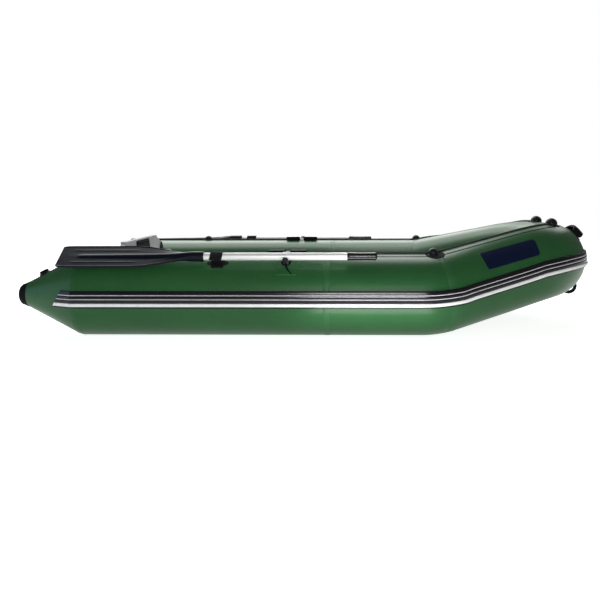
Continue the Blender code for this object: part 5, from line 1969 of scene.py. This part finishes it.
def make_oar_clip(side, name):
    """A rubber C that holds the shaft, with a long upper lip and a waisted stem."""
    out, swing = oar_axes()
    inner = shaft_radius + clip_clearance
    outer = inner + clip_wall
    ends = (math.pi / 2, math.pi * 1.5)
    inside = arc(0, 0, inner, inner, *ends, clip_arc_steps)
    outside = arc(0, 0, outer, outer, *reversed(ends), clip_arc_steps)
    reach = clip_upper_lip + clip_soft_edge
    outline = [(reach, inner)] + inside + [(clip_lower_lip, -inner), (clip_lower_lip, -outer)]
    outline += outside + [(reach, outer)]
    foot = oar_point(clip_at, oar_height)
    half = clip_length / 2
    clip = as_object(prism(outline, foot, swing, out, bow_axis, -half, half), f"{name}_oar_holder", side)
    softened(clip, clip_edge, 3)
    deep = tube_radius - oar_height
    drop = outer - clip_wall / 2
    right = [(clip_stem_half, -drop), (clip_waist_half, (deep - drop) / 2), (clip_flare_half, deep)]
    waist = [(-clip_stem_half, -drop)] + right + [(-across, up) for across, up in right[:0:-1]]
    deep_half = half * clip_stem_share
    stem = as_object(prism(waist, foot, swing, out, bow_axis, -deep_half, deep_half), "stem", side)
    softened(stem, clip_stem_edge, 2)
    spread = math.degrees(clip_foot_half / tube_radius)
    angles = (shoulder_angle - spread, shoulder_angle + spread)
    base = as_object(tube_sheet(clip_at - half, clip_at + half, *angles, clip_foot), "base", side)
    merged(clip, stem, base)
    dressed(clip, "rubber", f"{name}_oar_clip")
    patch = round_patch(clip_at, shoulder_angle, clip_patch_radius, clip_patch_thickness, clip_patch_rim,
                        squash=clip_patch_squash)
    dressed(as_object(patch, f"{name}_holder_patch", side), "patch", slot="black_rubber", smooth=60)


# Valves on the cones.
valve_at = -0.183
valve_angle = 92.0
valve_flange_radius = 0.027
valve_flange_height = 0.006
valve_flange_bevel = 0.0007
valve_sunk = 0.008
valve_bore_radius = 0.0130
valve_bore_bevel = 0.001
valve_bore_depth = 0.004
valve_cap_radius = 0.0215
valve_cap_height = 0.011
valve_cap_rim = ((0, 0.003), (0.0006, 0.0012), (0.002, 0.0003), (0.004, 0.0006), (0.0055, 0.0022))
valve_cap_dish = 0.0022
valve_bar_inset = 0.005
valve_bar_half_width = 0.0024
valve_bar_drop = 0.004
valve_bar_edge = 0.0008
valve_ribs = 36
valve_rib_proud = 0.0009
valve_rib_stop = 0.0026


def make_valve(side, name):
    """A valve seat on the cone, and its cap with a ribbed rim and a raised grip bar."""
    slope = math.atan(cone_slope)
    forward, radial, _ = tube_axes(valve_at, valve_angle)
    axis = (radial * math.cos(slope) - forward * math.sin(slope)).normalized()
    spoke = axis.cross(radial.cross(forward)).normalized()
    foot = on_tube(valve_at, valve_angle)
    top = valve_flange_height
    rim = valve_flange_radius
    bore = valve_bore_radius
    body = [(0, -valve_sunk), (rim, -valve_sunk), (rim, top * 0.5), (rim - valve_flange_bevel, top * 0.75),
            (rim - top / 3, top), (bore + valve_bore_bevel, top), (bore, top - valve_bore_bevel),
            (bore, top - valve_bore_depth), (0, top - valve_bore_depth)]
    seat_piece = as_object(lathe(body, foot, axis, spoke, 72), f"{name}_valve_seat", side)
    dressed(seat_piece, "plastic", f"{name}_valve_body")
    seat = top + slide_gap
    height = seat + valve_cap_height
    edge = valve_cap_radius - valve_rib_proud
    cap = [(0, seat), (edge, seat), *((edge - inset, height - drop) for inset, drop in valve_cap_rim),
           (0, height - valve_cap_dish)]
    lid = as_object(lathe(cap, foot, axis, spoke, 72), f"{name}_valve_lid", side)
    reach = edge - valve_bar_inset
    half = valve_bar_half_width
    outline = [(-reach, -half), (reach, -half), (reach, half), (-reach, half)]
    bar = prism(outline, foot, spoke, axis.cross(spoke), axis, height - valve_bar_drop, height)
    bar = softened(as_object(bar, "bar", side), valve_bar_edge, 3)
    mirror = Matrix.Diagonal((1, side, 1, 1))
    ends = (seat + grip_rib_start, height - valve_rib_stop)
    ribs = grip_ribs(mirror @ foot, mirror @ axis, mirror @ spoke, edge, *ends, valve_ribs, valve_rib_proud)
    merged(lid, bar, ribs)
    dressed(lid, "rubber", f"{name}_valve_cap", body=f"{name}_valve_cap")


# The studio: floor, lights and the camera of the photograph.
camera_place = (0.194, -4.281, 0.6804)
camera_heading = math.radians(-2.144)
camera_pitch = math.radians(-6.107)
camera_roll = math.radians(-0.241)
camera_lens = 48.82
camera_shift = -0.04
camera_sensor = 36.0


def make_camera():
    """The camera at the photograph's viewing angle."""
    data = bpy.data.cameras.new("photo_camera")
    camera = in_scene("photo_camera", data)
    data.lens = camera_lens
    data.sensor_width = camera_sensor
    data.shift_x = camera_shift
    data.shift_y = camera_shift
    forward = Vector((math.sin(camera_heading) * math.cos(camera_pitch),
                      math.cos(camera_heading) * math.cos(camera_pitch), math.sin(camera_pitch)))
    right = Vector((math.cos(camera_heading), -math.sin(camera_heading), 0))
    up = right.cross(forward)
    tilted_right = right * math.cos(camera_roll) + up * math.sin(camera_roll)
    tilted_up = up * math.cos(camera_roll) - right * math.sin(camera_roll)
    turn = Matrix((tilted_right, tilted_up, -forward)).transposed()
    camera.matrix_world = Matrix.Translation(camera_place) @ turn.to_4x4()
    bpy.context.scene.camera = camera


def make_softbox(name, place, target, width, height, brightness, tint):
    """A soft rectangle of light that the camera itself doesn't see."""
    data = bpy.data.lights.new(name, "AREA")
    data.shape = "RECTANGLE"
    data.size = width
    data.size_y = height
    data.energy = brightness * math.pi * width * height
    data.color = tint
    light = in_scene(name, data)
    light.location = place
    light.rotation_euler = (Vector(target) - Vector(place)).to_track_quat("-Z", "Y").to_euler()
    light.visible_camera = False


floor_reach = 6.0
floor_drop = 0.0005
floor_glow = 0.50
floor_shown = 0.88
floor_roughness = 0.6
floor_cloud = (3.0, 3, 0.5)
floor_shades = [(0.3, (0.70,) * 3), (0.7, (0.73,) * 3)]
room_brightness = 0.10


def make_floor():
    """A plain pale floor past the frame; it shows a little brighter to the camera than it lights the boat."""
    corners = ((-floor_reach, -floor_reach), (floor_reach, -floor_reach), (floor_reach, floor_reach),
               (-floor_reach, floor_reach))
    mesh = bmesh.new()
    mesh.faces.new([mesh.verts.new((x, y, -floor_drop)) for x, y in corners])
    floor = as_object(mesh, "studio_floor")
    finish = Finish("studio_floor", floor_roughness)
    finish.colour(finish.ramp(finish.noise(*floor_cloud), floor_shades))
    finish.constant(Emission_Color=(1, 1, 1, 1), Specular_IOR_Level=0.0)
    path = finish.nodes.new("ShaderNodeLightPath")
    glow = finish.math("MULTIPLY", path.outputs["Is Camera Ray"], floor_shown - floor_glow)
    finish.links.new(finish.math("ADD", glow, floor_glow), finish.shader.inputs["Emission Strength"])
    floor.data.materials.append(finish.made)


# The softboxes: place, target, width, height, brightness and tint.
white = (1, 1, 1)
pale_blue = (0.55, 0.75, 1.0)
softboxes = {
    "overhead": ((-0.75, 2.15, 2.33), (-0.45, 0.41, 0.54), 3.7, 2.4, 2.6, white),
    "top": ((0.55, 1.0, 2.8), (0.55, 0.6, 0.3), 1.0, 1.5, 4.2, white),
    "top_aft": ((-0.9, 1.4, 2.8), (-0.9, 0.9, 0.3), 1.9, 0.8, 2.4, white),
    "front": ((0.34, -4.6, 0.60), (0.34, 0, 0.3), 1.15, 0.32, 40.0, white),
    "upper": ((0.34, -4.6, 1.75), (0.34, 0, 0.3), 1.15, 1.2, 3.2, white),
    "stern": ((-4.2, -1.4, 0.6), (-1.2, -0.6, 0.2), 3.0, 2.2, 0.9, pale_blue),
    "rear": ((0, 4.6, 2.6), (0, 3.2, 0), 8.0, 3.0, 1.6, white),
    "low": ((0.3, -0.91, 0.004), (0.3, -0.91, 1.0), 0.6, 0.22, 6.0, white),
}


def make_studio():
    """A white backdrop, a dim room, a pale floor, eight softboxes and the camera."""
    make_floor()
    for name, settings in softboxes.items():
        make_softbox(name, *settings)
    world = bpy.data.worlds.new("studio")
    world.use_nodes = True
    nodes = world.node_tree.nodes
    room = nodes["Background"]
    room.inputs["Color"].default_value = (1, 1, 1, 1)
    room.inputs["Strength"].default_value = room_brightness
    backdrop = nodes.new("ShaderNodeBackground")
    backdrop.inputs["Color"].default_value = (1, 1, 1, 1)
    path = nodes.new("ShaderNodeLightPath")
    choice = nodes.new("ShaderNodeMixShader")
    link = world.node_tree.links.new
    link(path.outputs["Is Camera Ray"], choice.inputs["Fac"])
    link(room.outputs["Background"], choice.inputs[1])
    link(backdrop.outputs["Background"], choice.inputs[2])
    link(choice.outputs["Shader"], nodes["World Output"].inputs["Surface"])
    bpy.context.scene.world = world
    bpy.context.scene.view_settings.view_transform = "Standard"
    make_camera()


middle_pieces = (make_bottom_sheet, make_slat_floor, make_transom, make_motor_pads, make_drain)
side_pieces = (
    make_skin, make_tapes, make_cone_cap, make_strake, make_rope, make_line_fittings, make_name_plate,
    make_holder, make_rail, make_rowlock_base, make_fork, make_bolt_and_knob, make_shaft, make_grip,
    make_blade, make_oar_clip, make_valve,
)


def main():
    """Builds the boat's middle, then each side's pieces, then the studio."""
    for make in middle_pieces:
        make()
    make_bench("rear_bench", rear_bench_at)
    make_bench("front_bench", front_bench_at)
    make_bow_handle()
    make_tow_eye()
    for side, name in ((1, "starboard"), (-1, "port")):
        for make in side_pieces:
            make(side, name)
    make_studio()


main()
